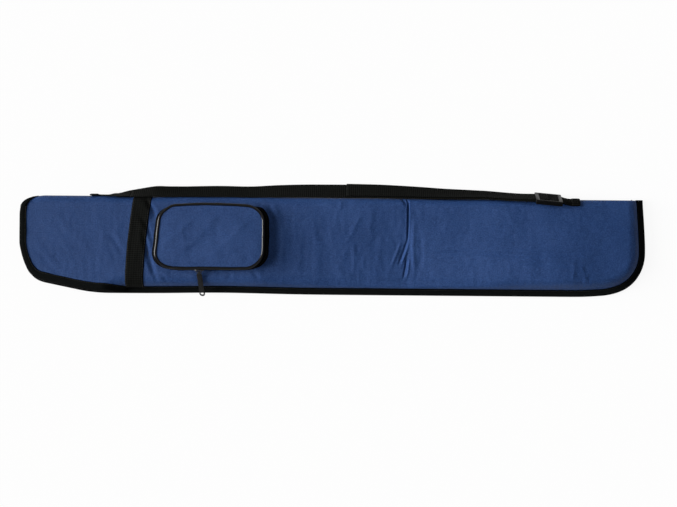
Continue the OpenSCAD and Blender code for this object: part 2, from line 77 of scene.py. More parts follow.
def plan_outline(left, low, right, steps=14):
    """Points of the plan outline, set in from the left end, the bound edge and the closed end."""
    corners = [
        Vector((left_end, fold_edge)),
        Vector((left_end, bound_edge + mouth_rise)),
        Vector((left_end + mouth_rise_length, bound_edge)),
        Vector((right_end, bound_edge)),
        Vector((right_end, fold_edge)),
    ]
    depths = (left, low, low, right, 0)
    count = len(corners)
    ways = [(corners[(i + 1) % count] - corners[i]).normalized() for i in range(count)]
    moved = []
    for i in range(count):
        a, b = ways[i - 1], ways[i]
        p = corners[i] + Vector((-a.y, a.x)) * depths[i - 1]
        q = corners[i] + Vector((-b.y, b.x)) * depths[i]
        moved.append(p + a * ((q - p).cross(b) / a.cross(b)))
    points = []
    for i in range(count):
        radius = max(outline_radii[i] - max(depths[i], depths[i - 1]), 0.3)
        back, on = -ways[i - 1], ways[i]
        bend = back.angle(on) / 2
        centre = moved[i] + (back + on).normalized() * (radius / math.sin(bend))
        first = moved[i] + back * (radius / math.tan(bend)) - centre
        start = math.atan2(first.y, first.x)
        for step in range(steps + 1):
            turn = start + (math.pi - 2 * bend) * step / steps
            points.append(centre + radius * Vector((math.cos(turn), math.sin(turn))))
    return points


def lower_edge(points):
    """A function that gives the outline's lower Y at an X."""
    lower = sorted((p.x, p.y) for p in points if p.y < fold_edge - 20)

    def height(x):
        if x <= lower[0][0]:
            return lower[0][1]
        for (x0, y0), (x1, y1) in zip(lower, lower[1:]):
            if x <= x1:
                share = 0 if x1 == x0 else (x - x0) / (x1 - x0)
                return y0 + (y1 - y0) * share
        return lower[-1][1]

    return height


def ease(x, a, b):
    """A smooth step from 0 at a to 1 at b."""
    t = min(1, max(0, (x - a) / (b - a)))
    return t * t * (3 - 2 * t)


def hump(x, middle, reach):
    """A smooth hump of height 1 about a middle."""
    return math.exp(-(((x - middle) / reach) ** 2))


def shaped_grid(name, columns, rows, place):
    """A grid primitive whose points are put where the sheet runs, with its UV map in metres."""
    bpy.ops.object.select_all(action="DESELECT")
    bpy.ops.mesh.primitive_grid_add(x_subdivisions=columns - 1, y_subdivisions=rows - 1, size=1)
    piece = bpy.context.object
    piece.name = piece.data.name = name
    where = {}
    for vertex in piece.data.vertices:
        i = round((vertex.co.x + 0.5) * (columns - 1))
        j = round((vertex.co.y + 0.5) * (rows - 1))
        where[vertex.index] = (i, j)
        vertex.co = Vector(place(i, j)) * MM
    along = [0]
    for i in range(1, columns):
        step = Vector(place(i, rows // 2)) - Vector(place(i - 1, rows // 2))
        along.append(along[-1] + step.length * MM)
    across = [0]
    for j in range(1, rows):
        step = Vector(place(columns // 2, j)) - Vector(place(columns // 2, j - 1))
        across.append(across[-1] + step.length * MM)
    uv = piece.data.uv_layers.active
    for loop in piece.data.loops:
        i, j = where[loop.vertex_index]
        uv.data[loop.index].uv = (along[i], across[j])
    bpy.ops.object.shade_smooth()
    return piece


def take_up(piece):
    """Makes a piece the only one selected, for the tools that work on what is selected."""
    bpy.ops.object.select_all(action="DESELECT")
    piece.select_set(True)
    bpy.context.view_layer.objects.active = piece


def apply_modifiers(piece):
    take_up(piece)
    for modifier in list(piece.modifiers):
        bpy.ops.object.modifier_apply(modifier=modifier.name)


def thicken(piece, thickness, lowest=0.0):
    """Gives a sheet its thickness, and keeps it above the floor or the layer that it lies on."""
    wall = piece.modifiers.new("thickness", "SOLIDIFY")
    wall.thickness = thickness * MM
    wall.offset = -1
    wall.use_even_offset = False
    apply_modifiers(piece)
    for spot in piece.data.vertices:
        spot.co.z = max(spot.co.z, lowest * MM)
    return piece


def merge(piece, distance=0.01):
    """Closes the doubled points of a wrapped grid and turns its faces outwards."""
    take_up(piece)
    bpy.ops.object.mode_set(mode="EDIT")
    bpy.ops.mesh.select_all(action="SELECT")
    bpy.ops.mesh.remove_doubles(threshold=distance * MM)
    bpy.ops.mesh.normals_make_consistent(inside=False)
    bpy.ops.object.mode_set(mode="OBJECT")
    return piece


def math_node(tree, operation, a, b=None):
    """A Math node whose inputs are sockets or plain numbers."""
    node = tree.nodes.new("ShaderNodeMath")
    node.operation = operation
    for socket, value in zip(node.inputs, (a, b)):
        if isinstance(value, (int, float)):
            socket.default_value = value
        elif value is not None:
            tree.links.new(value, socket)
    return node.outputs[0]


def noise_node(tree, vector, scale, detail=2):
    node = tree.nodes.new("ShaderNodeTexNoise")
    node.inputs["Scale"].default_value = scale
    node.inputs["Detail"].default_value = detail
    tree.links.new(vector, node.inputs["Vector"])
    return node.outputs["Fac"]


def start_group(name, inputs, outputs):
    """A shader group for a woven surface, with the place on it split into X and Y."""
    group = bpy.data.node_groups.new(name, "ShaderNodeTree")
    group.interface.new_socket("Vector", in_out="INPUT", socket_type="NodeSocketVector")
    for way, sockets in (("INPUT", inputs), ("OUTPUT", outputs)):
        for socket in sockets:
            group.interface.new_socket(socket, in_out=way, socket_type="NodeSocketFloat")
    source = group.nodes.new("NodeGroupInput")
    result = group.nodes.new("NodeGroupOutput")
    apart = group.nodes.new("ShaderNodeSeparateXYZ")
    group.links.new(source.outputs["Vector"], apart.inputs[0])
    return group, source.outputs, result.inputs, apart.outputs


def wave_along(group, place, pitch, turn):
    turns = math_node(group, "MULTIPLY", place, pitch)
    return math_node(group, "SINE", math_node(group, "MULTIPLY", turns, turn))


def make_weave_group():
    """Plain weave: threads over and under each other, with a little slub. Pitch is in threads a metre."""
    group, source, result, apart = start_group("plain weave", ("Warp", "Weft"), ("Height", "Slub"))
    warp = wave_along(group, apart["X"], source["Warp"], math.pi)
    weft = wave_along(group, apart["Y"], source["Weft"], math.pi)
    crossing = math_node(group, "ABSOLUTE", math_node(group, "MULTIPLY", warp, weft))
    slub = noise_node(group, source["Vector"], 620)
    raised = math_node(group, "ADD", crossing, math_node(group, "MULTIPLY", slub, 0.6))
    group.links.new(raised, result["Height"])
    group.links.new(slub, result["Slub"])
    return group


weave_group = make_weave_group()


def start_material(name):
    """A new material: its node tree, its shader, and the places on a piece that a texture can follow."""
    material = bpy.data.materials.new(name)
    material.use_nodes = True
    tree = material.node_tree
    return material, tree, tree.nodes["Principled BSDF"], tree.nodes.new("ShaderNodeTexCoord").outputs


def group_node(tree, group, vector, **values):
    node = tree.nodes.new("ShaderNodeGroup")
    node.node_tree = group
    tree.links.new(vector, node.inputs["Vector"])
    for key, value in values.items():
        node.inputs[key].default_value = value
    return node.outputs


def two_tones(tree, shader, factor, dark, light, low=0.35, high=0.65):
    """Colours a surface between a dark and a light tone."""
    ramp = tree.nodes.new("ShaderNodeValToRGB")
    for stop, position, colour in zip(ramp.color_ramp.elements, (low, high), (dark, light)):
        stop.position = position
        stop.color = (*colour, 1)
    tree.links.new(factor, ramp.inputs["Fac"])
    tree.links.new(ramp.outputs["Color"], shader.inputs["Base Color"])


def raise_surface(tree, shader, height, strength, distance):
    """Bump from a height, with its depth in metres."""
    bump = tree.nodes.new("ShaderNodeBump")
    bump.inputs["Strength"].default_value = strength
    bump.inputs["Distance"].default_value = distance
    tree.links.new(height, bump.inputs["Height"])
    tree.links.new(bump.outputs["Normal"], shader.inputs["Normal"])


def woven_material(name, dark, light, pitch, bump, roughness, specular, sheen=0.0):
    """Woven cloth: two tones mottled by slub and broad patches, and crossing threads as bump."""
    material, tree, shader, place = start_material(name)
    weave = group_node(tree, weave_group, place["Object"], Warp=pitch, Weft=pitch)
    slub = math_node(tree, "MULTIPLY", weave["Slub"], 0.72)
    patches = math_node(tree, "MULTIPLY", noise_node(tree, place["Object"], 16, 3), 0.28)
    two_tones(tree, shader, math_node(tree, "ADD", slub, patches), dark, light)
    raise_surface(tree, shader, weave["Height"], bump, 0.0004)
    shader.inputs["Roughness"].default_value = roughness
    shader.inputs["Specular IOR Level"].default_value = specular
    shader.inputs["Sheen Weight"].default_value = sheen
    shader.inputs["Sheen Roughness"].default_value = 0.5
    return material


navy_dark, navy_light = (0.0120, 0.0360, 0.120), (0.0290, 0.0690, 0.200)
navy_cloth = woven_material("navy cloth", navy_dark, navy_light, 1150, 0.6, 0.44, 0.08)
lining_dark, lining_light = (0.006, 0.006, 0.007), (0.014, 0.014, 0.016)
lining_cloth = woven_material("black lining", lining_dark, lining_light, 2600, 0.25, 0.55, 0.3, 0.1)


def foam_material():
    """Closed foam: charcoal, with fine cells."""
    material, tree, shader, place = start_material("charcoal foam")
    cells = tree.nodes.new("ShaderNodeTexVoronoi")
    cells.inputs["Scale"].default_value = 900
    tree.links.new(place["Object"], cells.inputs["Vector"])
    two_tones(tree, shader, cells.outputs["Distance"], (0.028, 0.028, 0.03), (0.05, 0.05, 0.052))
    raise_surface(tree, shader, cells.outputs["Distance"], 0.4, 0.0003)
    shader.inputs["Roughness"].default_value = 0.9
    return material


padding_foam = foam_material()
mouth_corner_draw, mouth_fold_draw, closed_end_draw = 4.6, 4.2, 4.2
fold_corner_drop = 3.2
pocket_draw, pocket_draw_x, pocket_draw_reach = 1.6, -150, 75
corner_draw, corner_draw_x, corner_draw_reach = 2.3, 378, 26


def soften_ends(piece):
    """Draws in the soft mouth end, the closed end, and the bound edge by the pocket and the closed end."""
    for spot in piece.data.vertices:
        x, y = spot.co.x / MM, spot.co.y / MM
        near_mouth = 1 - ease(x, left_end + 12, left_end + 75)
        lower = mouth_corner_draw * (1 - ease(y, -24, 4)) * ease(y, -50, -27)
        upper = mouth_fold_draw * max(0, (y - 40) / 24) ** 2
        spot.co.x += near_mouth * (lower + upper) * MM
        near_closed_end = ease(x, right_end - 60, right_end - 8)
        spot.co.x -= near_closed_end * closed_end_draw * max(0, y / fold_edge) ** 1.3 * MM
        near_fold_corner = (1 - ease(x, left_end + 2, left_end + 30)) * ease(y, 30, fold_edge)
        edge_draw = pocket_draw * hump(x, pocket_draw_x, pocket_draw_reach)
        edge_draw += corner_draw * hump(x, corner_draw_x, corner_draw_reach)
        near_bound_edge = 1 - ease(y, bound_edge, 0)
        spot.co.y += (edge_draw * near_bound_edge - fold_corner_drop * near_fold_corner) * MM


def clothe(piece, material, slot, *nodes, soft=True):
    """Gives a piece its finish, and hides the CAD nodes that it stands for."""
    if soft:
        soften_ends(piece)
    piece.data.materials.clear()
    piece.data.materials.append(material)
    if nodes:
        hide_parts(*nodes)
    return piece


def dress(piece, material, body, slot, *nodes, soft=True):
    """Finishes a piece that moves with one body."""
    clothe(piece, material, slot, *nodes, soft=soft)
    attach(piece, body)
    return piece


def spaced(low, high, step):
    count = max(2, round((high - low) / step) + 1)
    return [low + (high - low) * k / (count - 1) for k in range(count)]


def end_spaced(low, high, step, reach):
    """Places along a length, closer together over a reach at both ends, where the outline turns."""
    turn = [reach * (1 - math.cos(math.pi / 2 * k / 12)) for k in range(12)]
    middle = spaced(low + reach, high - reach, step)
    return [low + t for t in turn] + middle + [high - t for t in reversed(turn)]


back_lift = 0.35


def back_sheet(name, z, thickness, step, tuck, short=0.0):
    """One layer of the back, which lifts a little off the floor inside its sewn edges."""
    low_edge = lower_edge(plan_outline(tuck, tuck, tuck + short))
    xs = end_spaced(left_end + tuck, right_end - tuck - short, step, 40)
    rows = 28

    def place(i, j):
        x = xs[i]
        low = low_edge(x) + short * ease(x, right_end - 110, right_end - 70)
        share = (j / (rows - 1)) ** 1.4
        y = low + (fold_line - low) * share
        inside = min((y - low) / 14, (x - xs[0]) / 14, (xs[-1] - x) / 14, 1)
        lift = back_lift * (1 + noise.noise(Vector((x / 45, y / 30, 1))))
        return x, y, z + lift * inside * (1 - share)

    return thicken(shaped_grid(name, len(xs), rows, place), thickness, z - thickness)


back_cloth = back_sheet("back_cloth", 0.8, 0.8, 6, 5)
dress(back_cloth, navy_cloth, "case", "navy_cloth", "back_cover")
back_foam = back_sheet("back_foam", 3.8, 2.9, 9, 10, 3)
dress(back_foam, padding_foam, "case", "foam", "back_padding")
back_inner = back_sheet("back_inner_lining", 4.4, 0.5, 7, 10, 3)
dress(back_inner, lining_cloth, "case", "black_lining", "back_lining")

# Front panel, top fold and mouth flap
# One run of padded cloth: it comes round the fold, lies flat over the front and rolls down to the
# bound edge. At the mouth it carries on as the flap, which folds back along a slanting line.
roll = 16
foot_y = bound_edge + binding_width
foot_x = right_end - binding_width
corner_x = right_end - closed_end_radius
corner_y = bound_edge + closed_end_radius
foot_radius = closed_end_radius - binding_width
flap_end_in = 1
flap_set_in = 5
flap_tuck = 4
zip_low_end = left_end + 139
flap_low = lower_edge(plan_outline(flap_end_in + flap_tuck, flap_set_in + flap_tuck, flap_tuck))


def body_share(x):
    """0 on the flap, whose edge lies level, and 1 on the body, whose edge is drawn down to its seam."""
    return ease(x, zip_low_end - 28, zip_low_end + 8)


def front_low(x):
    if x > corner_x:
        reach = min(foot_radius, x - corner_x)
        return corner_y - math.sqrt(foot_radius**2 - reach**2)
    if x < zip_low_end:
        return flap_low(x) + (foot_y - flap_low(x)) * body_share(x)
    return foot_y


def foot_depth(x, y):
    if x > corner_x and y < corner_y:
        return foot_radius - math.hypot(x - corner_x, y - corner_y)
    return min(y - front_low(x), foot_x - x)


def rise(depth):
    return math.sqrt(max(0, 1 - (1 - min(max(depth, 0), roll) / roll) ** 2))


def path_distance(x, y, path):
    """Distance to a run of straight stretches, and the share of the run at the nearest point."""
    best, share = 1e9, 0
    for k, (p, q) in enumerate(zip(path, path[1:])):
        ux, uy = q[0] - p[0], q[1] - p[1]
        t = ((x - p[0]) * ux + (y - p[1]) * uy) / (ux * ux + uy * uy)
        t = min(1, max(0, t))
        gap = math.hypot(x - p[0] - t * ux, y - p[1] - t * uy)
        if gap < best:
            best, share = gap, (k + t) / (len(path) - 1)
    return best, share


# Creases in the cloth: the line they follow, their depth, half width, and the height of their lips
creases = [
    ([(97, 66), (100.5, 60), (100.5, 30), (100, 8)], 3.0, 1.0, 0.25),
    ([(100, 10), (95, -6), (88, -24)], 1.3, 1.5, 0.0),
    ([(102, 6), (98, -8), (91, -26)], -1.0, 1.5, 0.0),
    ([(99, -14), (98, -26), (94.5, -44)], 1.4, 1.4, 0.0),
    ([(103, -14), (102, -28), (99, -44)], -0.9, 1.5, 0.0),
    ([(90, 67), (94, 63), (99, 57)], 2.2, 1.5, 0.4),
    ([(92, 8), (85, -10), (78, -28)], -0.8, 2.0, 0.0),
    ([(108, 40), (107, 0), (110, -38)], -1.1, 3.2, 0.0),
    ([(118, 20), (119, -10), (116, -30)], 0.7, 3.0, 0.0),
    ([(9, 66), (9, 58), (9, 48)], -0.8, 1.8, 0.0),
    ([(40, 45), (31, 32), (24, 16), (14, 5)], -0.55, 2.4, 0.0),
    ([(56, 56), (50, 30), (52, 6)], -0.4, 3.4, 0.0),
    ([(27, 4), (28, -18), (27, -39)], -0.65, 2.2, 0.0),
    ([(41, -12), (40, -30)], -0.5, 2.0, 0.0),
    ([(66, 20), (60, -10), (66, -40)], -0.35, 3.4, 0.0),
    ([(130, -9), (180, -7), (250, -10), (330, -7)], 0.9, 2.2, 0.5),
    ([(250, -19), (290, -22), (330, -24)], 0.8, 2.0, 0.4),
    ([(140, 26), (190, 30), (240, 27)], -0.5, 5.0, 0.0),
    ([(322, -14), (325, -28), (321, -47)], -0.55, 2.4, 0.0),
    ([(334, -22), (338, -34), (341, -48)], -0.6, 2.4, 0.0),
    ([(-257, 20), (-250, -15), (-238, -50)], 1.5, 2.6, 0.6),
    ([(-254, 62), (-246, 50), (-240, 36)], 1.6, 2.4, 0.8),
    ([(-262, 40), (-252, 26), (-243, 0)], 1.0, 2.4, 0.5),
    ([(-236, -40), (-222, -48)], 1.1, 2.0, 0.5),
    ([(-89, 56), (-84, 46), (-82, 30)], 1.4, 2.6, 0.8),
    ([(-103, 58), (-93, 53)], 1.1, 2.0, 0.5),
    ([(-110, -36), (-100, -44)], 1.0, 2.4, 0.5),
    ([(-74, 40), (-68, 5), (-72, -36)], -0.6, 4.0, 0.0),
    ([(-30, 30), (-20, 0), (-24, -40)], -0.45, 4.5, 0.0),
    ([(-380, 46), (-356, 20), (-330, -8)], -0.9, 6.5, 0.0),
    ([(-405, 20), (-392, -12), (-372, -34)], -0.9, 5.0, 0.0),
    ([(-404, -6), (-388, -28), (-366, -40)], 0.9, 3.0, 0.3),
    ([(-318, 50), (-312, 10), (-300, -30)], -0.7, 5.0, 0.0),
    ([(-306, 16), (-292, 2), (-286, -14)], 0.8, 3.0, 0.4),
]
# A crease is felt no further away than this many times its half width
crease_reach = 6
crease_boxes = [
    (min(p[0] for p in path) - crease_reach * width, max(p[0] for p in path) + crease_reach * width)
    for path, depth, width, lip in creases
]


bend_x, bend_depth = 100, 6.5
bulge_x, bulge_y, bulge_height = 322, -32, 4.2
closed_end_fall = 6.5


def swell(x, y):
    """The padding's broad form: soft swells, a bulge by the closed end, and the dip where it is bent."""
    flat = 0.55 + 0.45 * ease(x, zip_low_end, zip_low_end + 40)
    z = 1.15 * flat * noise.noise(Vector((x / 60, y / 42, 0)))
    z += 0.5 * flat * noise.noise(Vector((x / 21, y / 30, 3)))
    z += bulge_height * hump(x, bulge_x, 95) * hump(y, bulge_y, 40)
    depth = bend_depth * (1 - y / 75)
    if x < bend_x:
        z -= depth * max(0, 1 - (bend_x - x) / 195) ** 1.1
    else:
        z -= depth * max(0, 1 - (x - bend_x) / 170) ** 1.2
    return z


def end_fall(x):
    """How far the front sinks towards the closed end, where the padding stops short of the seam."""
    return closed_end_fall * ease(x, 290, 410)


def relief(x, y):
    """How far the cloth stands off its plain form: the swell, fine unevenness and the creases."""
    z = swell(x, y) + 0.26 * noise.noise(Vector((x / 6, y / 11, 5)))
    quiet = 0.35 + 0.65 * ease(x, zip_low_end - 30, zip_low_end + 20)
    ridge = 1 - abs(noise.noise(Vector((x / 24, y / 80, 8))))
    z += 0.3 * ridge**8 * quiet * (1 - 0.85 * ease(x, bend_x, bend_x + 40))
    for (path, depth, width, lip), (start, end) in zip(creases, crease_boxes):
        if x < start or x > end:
            continue
        gap, share = path_distance(x, y, path)
        if gap > crease_reach * width:
            continue
        fade = quiet * (min(1, 5 * share, 5 * (1 - share)) * 0.9 + 0.1)
        z -= fade * depth * hump(gap, 0, width)
        z += fade * lip * hump(gap, 2.4 * width, 1.4 * width)
    return z


def edge_pucker(x, depth):
    """Short ripples where the stitching gathers the cloth along the bound edge."""
    phase = x / 1.5 + 4 * noise.noise(Vector((x / 26, 0, 9)))
    gathered = 0.25 + max(0, noise.noise(Vector((x / 40, 0, 6))))
    return 0.5 * gathered * math.sin(phase) * math.exp(-max(depth, 0) / 8)


def stand_off(x, y, depth):
    """The outer cloth has all the creases, and the layers under it follow its broad form."""
    if depth == 0:
        return relief(x, y)
    return swell(x, y) - 2.2 * hump(x, 97, 9)


seam_z = 2.6
flap_edge_z = front_z - 1.3
trim_depth = 10
seam_tuck, flap_edge_tuck = 5, 2
edge_reach = 9
edge_share = 0.1


def trimmed(x):
    """The share by which foam and lining are cut back at the zip's low end, where the flap's fold ends."""
    return ease(x, zip_low_end - 46, zip_low_end - 30) * (1 - ease(x, zip_low_end + 8, zip_low_end + 20))


def front_point(x, zone, value, depth):
    """A point of the front's run at one X, sunk by a depth, in the zone and place that a row names."""
    end_x = min(x, foot_x)
    beyond = max(0, x - foot_x)
    share = body_share(end_x)
    drop = roll * share
    edge_z = flap_edge_z + (seam_z - flap_edge_z) * share
    cut_back = trimmed(end_x) if depth else 0
    low = front_low(end_x) + trim_depth * cut_back
    if zone == "fold":
        radius = fold_radius - depth
        y = fold_line + radius * math.cos(value)
        z = fold_radius + radius * math.sin(value)
        upper = max(0, math.sin(value))
        z += (stand_off(end_x, fold_line + fold_radius * math.cos(value), depth) - end_fall(end_x)) * upper
        z *= 1 - roll / front_z * (1 - rise(foot_x - end_x))
    elif zone in ("roll", "flat"):
        top = low + roll
        if zone == "roll":
            y = top - (roll - depth) * math.sin(value)
        else:
            y = top + (fold_line - top) * value
        gap = foot_depth(end_x, y - depth * (zone == "roll") * math.sin(value))
        full = rise(gap) if x > zip_low_end else 1 - share * (1 - rise(gap))
        z = front_z - (roll * (1 - full) if x > zip_low_end else drop * (1 - rise(gap))) - depth * full
        inside = min(1, max(edge_share, gap / edge_reach))
        z += (stand_off(end_x, y, depth) + edge_pucker(end_x, gap)) * inside
        z -= end_fall(end_x) * (0.6 + 0.4 * inside)
    else:
        y = low + depth
        foot_z = front_z - drop - end_fall(end_x) * (0.6 + 0.4 * edge_share)
        edge_z = min(edge_z, foot_z - 0.4)
        cut_z = front_z - drop * (1 - rise(trim_depth * cut_back)) - depth - 0.5 * value
        z = foot_z + (edge_z - foot_z) * value
        z += (cut_z - z) * cut_back
        if zone == "tuck":
            z = edge_z + (cut_z - edge_z) * cut_back
            if end_x > corner_x:
                out = Vector((end_x - corner_x, low - corner_y)).normalized() * seam_tuck
                return end_x + out.x, low + out.y, z
            sewn_in = -depth - 1 if depth else seam_tuck
            y = low - (sewn_in * share + flap_edge_tuck * (1 - share)) * (1 - cut_back)
    if beyond:
        z = min(z, seam_z + (1 - min(1, beyond)) * (z - seam_z))
        return foot_x + max(0, beyond - 1), y, max(0, z)
    near_end = 1 - ease(x, left_end, left_end + 50)
    return x + corner_rounding(y) * near_end, y, max(0.05 + depth, z)


fold_corner = 13


def corner_rounding(y):
    """How far the soft left end draws in towards the folded edge."""
    past = min(fold_corner, max(0, y - fold_edge + fold_corner))
    return 0.75 * (fold_corner - math.sqrt(fold_corner**2 - past**2))


def front_surface(x, y):
    """Height of the outer cloth at a place in plan, and of its edge where the place is past it."""
    share = body_share(x)
    gap = y - front_low(x)
    z = front_z - roll * share * (1 - rise(gap))
    if gap < 0:
        return z - share * (front_z - roll - 4.5) * min(1, -gap / 4)
    return z + relief(x, y) * min(1, max(edge_share, gap / edge_reach))


def front_rows(step):
    rows = [("tuck", 0), ("skirt", 1), ("skirt", 0.45)]
    rows += [("roll", math.pi / 2 * (1 - k / 9)) for k in range(9)]
    rows += [("flat", share) for share in spaced(0, 1, min(step, 2.6) / 93)[:-1]]
    rows += [("fold", math.pi / 2 - math.pi * k / 18) for k in range(19)]
    return rows


def front_columns(step):
    inner_left = left_end + flap_end_in + 3
    turn = [inner_left + 34 * (1 - math.cos(math.pi / 2 * k / 14)) for k in range(14)]
    flap_span = spaced(inner_left + 34, zip_low_end + 24, min(step, 2.6))
    near = spaced(zip_low_end + 24, 80, step)[1:]
    crease_span = spaced(80, 114, step * 0.3)[1:]
    far = spaced(114, corner_x, step)[1:]
    bend = [corner_x + (foot_x - corner_x) * math.sin(math.pi / 2 * k / 22) for k in range(1, 23)]
    return turn + flap_span + near + crease_span + far + bend + [foot_x + 0.5, foot_x + 1, foot_x + 7]


def clear_of_seam(x, y, z, clear):
    """Keeps the foam and the lining inside the cloth round the closed end, a little short of its seam."""
    if x <= corner_x:
        return x, y, z
    if y >= corner_y:
        return min(x, foot_x - clear - 4 * ease(y, fold_line - 20, fold_line)), y, z
    out = Vector((x - corner_x, y - corner_y))
    out *= min(1, (foot_radius - clear) / out.length)
    return corner_x + out.x, corner_y + out.y, z


def front_sheet(name, depth, thickness, step):
    xs = [x for x in front_columns(step) if depth == 0 or x <= foot_x]
    rows = front_rows(step)

    def place(i, j):
        spot = front_point(xs[i], *rows[j], depth)
        return clear_of_seam(*spot, depth + 1.5) if depth else spot

    return thicken(shaped_grid(name, len(xs), len(rows), place), thickness, min(depth, 2))


def follow_flap(piece, material, slot, *nodes):
    """Finishes a piece that runs from the case over the flap, and bakes its place into its points."""
    clothe(piece, material, slot, *nodes)
    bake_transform(piece)
    return piece


front_cloth = front_sheet("front_cloth", 0, 0.7, 1.9)
follow_flap(front_cloth, navy_cloth, "navy_cloth", "front_cover", "flap_cover")
front_foam = front_sheet("front_foam", 1.4, 2.3, 8)
follow_flap(front_foam, padding_foam, "foam", "front_padding", "flap_padding")
front_inner = front_sheet("front_inner_lining", 3.9, 0.5, 6)
follow_flap(front_inner, lining_cloth, "black_lining", "front_lining", "flap_lining")

# Edge bindings
# Black grosgrain tape, folded over the raw edges and sewn through with one row of black thread.
# The flap and the back have a binding each at the mouth, and the body's two layers share one.


def make_rib_group():
    """Ribs across a tape, crossed by fine threads, with random fuzz and painted shade between the raised ribs
    in its colour factor. Pitch is in ribs a metre.
    """
    group, source, result, apart = start_group("ribbed tape", ("Along", "Across"), ("Height", "Fuzz_and_rib_shade"))
    parts = []
    for axis, pitch in (("X", "Along"), ("Y", "Across")):
        wave = wave_along(group, apart[axis], source[pitch], 2 * math.pi)
        parts.append(math_node(group, "ADD", math_node(group, "MULTIPLY", wave, 0.5), 0.5))
    height = math_node(group, "ADD", parts[0], math_node(group, "MULTIPLY", parts[1], 0.45))
    uneven = math_node(group, "MULTIPLY", noise_node(group, source["Vector"], 900), 0.8)
    # Painted shade: the colour is lighter on the raised ribs and darker between them
    shade = math_node(group, "MULTIPLY", height, 0.45)
    group.links.new(height, result["Height"])
    group.links.new(math_node(group, "ADD", uneven, shade), result["Fuzz_and_rib_shade"])
    return group


rib_group = make_rib_group()


def tape_material(name, dark, light, along, across, bump):
    """Dull black tape: ribs across it and threads along it as bump, and two tones from random fuzz and from
    painted shade between the ribs.
    """
    material, tree, shader, place = start_material(name)
    ribs = group_node(tree, rib_group, place["UV"], Along=along, Across=across)
    # The two tones follow random fuzz and the painted shade between the ribs
    two_tones(tree, shader, ribs["Fuzz_and_rib_shade"], dark, light, 0.4, 1.0)
    raise_surface(tree, shader, ribs["Height"], bump, 0.0004)
    shader.inputs["Roughness"].default_value = 0.75
    shader.inputs["Specular IOR Level"].default_value = 0.02
    return material


binding_dark, binding_light = (0.0020, 0.0025, 0.0025), (0.0062, 0.0072, 0.0072)
binding_tape = tape_material("binding tape", binding_dark, binding_light, 900, 500, 0.4)


def resample(points, step):
    """Even places along a run of points."""
    lengths = [0]
    for p, q in zip(points, points[1:]):
        lengths.append(lengths[-1] + (q - p).length)
    result = []
    k = 0
    for place in spaced(0, lengths[-1], step):
        while k < len(points) - 2 and lengths[k + 1] < place:
            k += 1
        stretch = lengths[k + 1] - lengths[k]
        share = 0 if stretch == 0 else (place - lengths[k]) / stretch
        result.append(points[k].lerp(points[k + 1], share))
    return result


def inward(points, k):
    """Direction into the panel at one place of an anticlockwise path."""
    way = points[min(k + 1, len(points) - 1)] - points[max(k - 1, 0)]
    return Vector((-way.y, way.x)).normalized()


def swept(name, path, section, place_z=None, waver=0.0):
    """A closed section of (depth inwards, height) points, swept along a path in plan."""
    count = len(section) + 1

    def place(i, j):
        p = path[i]
        depth, z = section[j % len(section)]
        side = inward(path, i)
        wave = waver * noise.noise(Vector((p.x / 14, p.y / 14, depth / 40)))
        spot = p + side * (depth + wave * (depth > 3))
        base = place_z(spot) if place_z else 0
        return spot.x, spot.y, max(0, base + z + 0.5 * wave * (z > 1))

    return merge(close_ends(shaped_grid(name, len(path), count, place)))


def close_ends(piece):
    """Fills the two open ends of a swept tube with a face each."""
    take_up(piece)
    bpy.ops.object.mode_set(mode="EDIT")
    bpy.ops.mesh.select_all(action="SELECT")
    bpy.ops.mesh.remove_doubles(threshold=0.00001)
    bpy.ops.mesh.select_all(action="DESELECT")
    bpy.ops.mesh.select_non_manifold()
    bpy.ops.mesh.edge_face_add()
    bpy.ops.object.mode_set(mode="OBJECT")
    return piece


def tape_section(width, height):
    """A folded tape: a flat tube with a round nose at the outer edge."""
    return [
        (width, height * 0.86),
        (width - 0.6, height * 0.98),
        (width * 0.55, height * 1.02),
        (2.2, height),
        (0.7, height * 0.86),
        (0, height * 0.5),
        (0.7, height * 0.14),
        (2.2, 0),
        (width * 0.55, 0),
        (width - 0.6, 0),
        (width, height * 0.12),
    ]


def moulded_material(name, colour, roughness, coat, grain, bump, specular=0.5):
    """Moulded or enamelled black: fine grain in the gloss, and a clear coat where it is glossy."""
    material, tree, shader, place = start_material(name)
    speckle = noise_node(tree, place["Object"], grain, 3)
    two_tones(tree, shader, speckle, colour, tuple(c * 1.7 + 0.002 for c in colour))
    rough = math_node(tree, "ADD", math_node(tree, "MULTIPLY", speckle, 0.16), roughness)
    tree.links.new(rough, shader.inputs["Roughness"])
    raise_surface(tree, shader, speckle, bump, 0.0002)
    shader.inputs["Specular IOR Level"].default_value = specular
    shader.inputs["Coat Weight"].default_value = coat
    shader.inputs["Coat Roughness"].default_value = 0.15
    return material


thread = moulded_material("black thread", (0.004, 0.004, 0.004), 0.6, 0.0, 2500, 0.4)


def stitch_run(name, spots, body, slot="black_binding", pitch=3.2, radius=0.27):
    """A row of lockstitch: one stitch, modelled once and copied along the run."""
    bpy.ops.object.select_all(action="DESELECT")
    bpy.ops.mesh.primitive_ico_sphere_add(subdivisions=2, radius=1)
    piece = bpy.context.object
    piece.name = piece.data.name = name
    points = [v.co.copy() for v in piece.data.vertices]
    faces = [tuple(f.vertices) for f in piece.data.polygons]
    run = resample(spots, pitch)
    verts, polys = [], []
    for a, b in zip(run, run[1:]):
        way = (b - a).normalized()
        turn = way.to_track_quat("X", "Z").to_matrix()
        first = len(verts)
        middle = (a + b) / 2
        for point in points:
            grain = Vector((point.x * pitch * 0.36, point.y * radius, point.z * radius))
            verts.append((middle + turn @ grain) * MM)
        polys += [tuple(first + k for k in face) for face in faces]
    piece.data.clear_geometry()
    piece.data.from_pydata(verts, [], polys)
    piece.data.polygons.foreach_set("use_smooth", [True] * len(polys))
    return dress(piece, thread, body, slot)


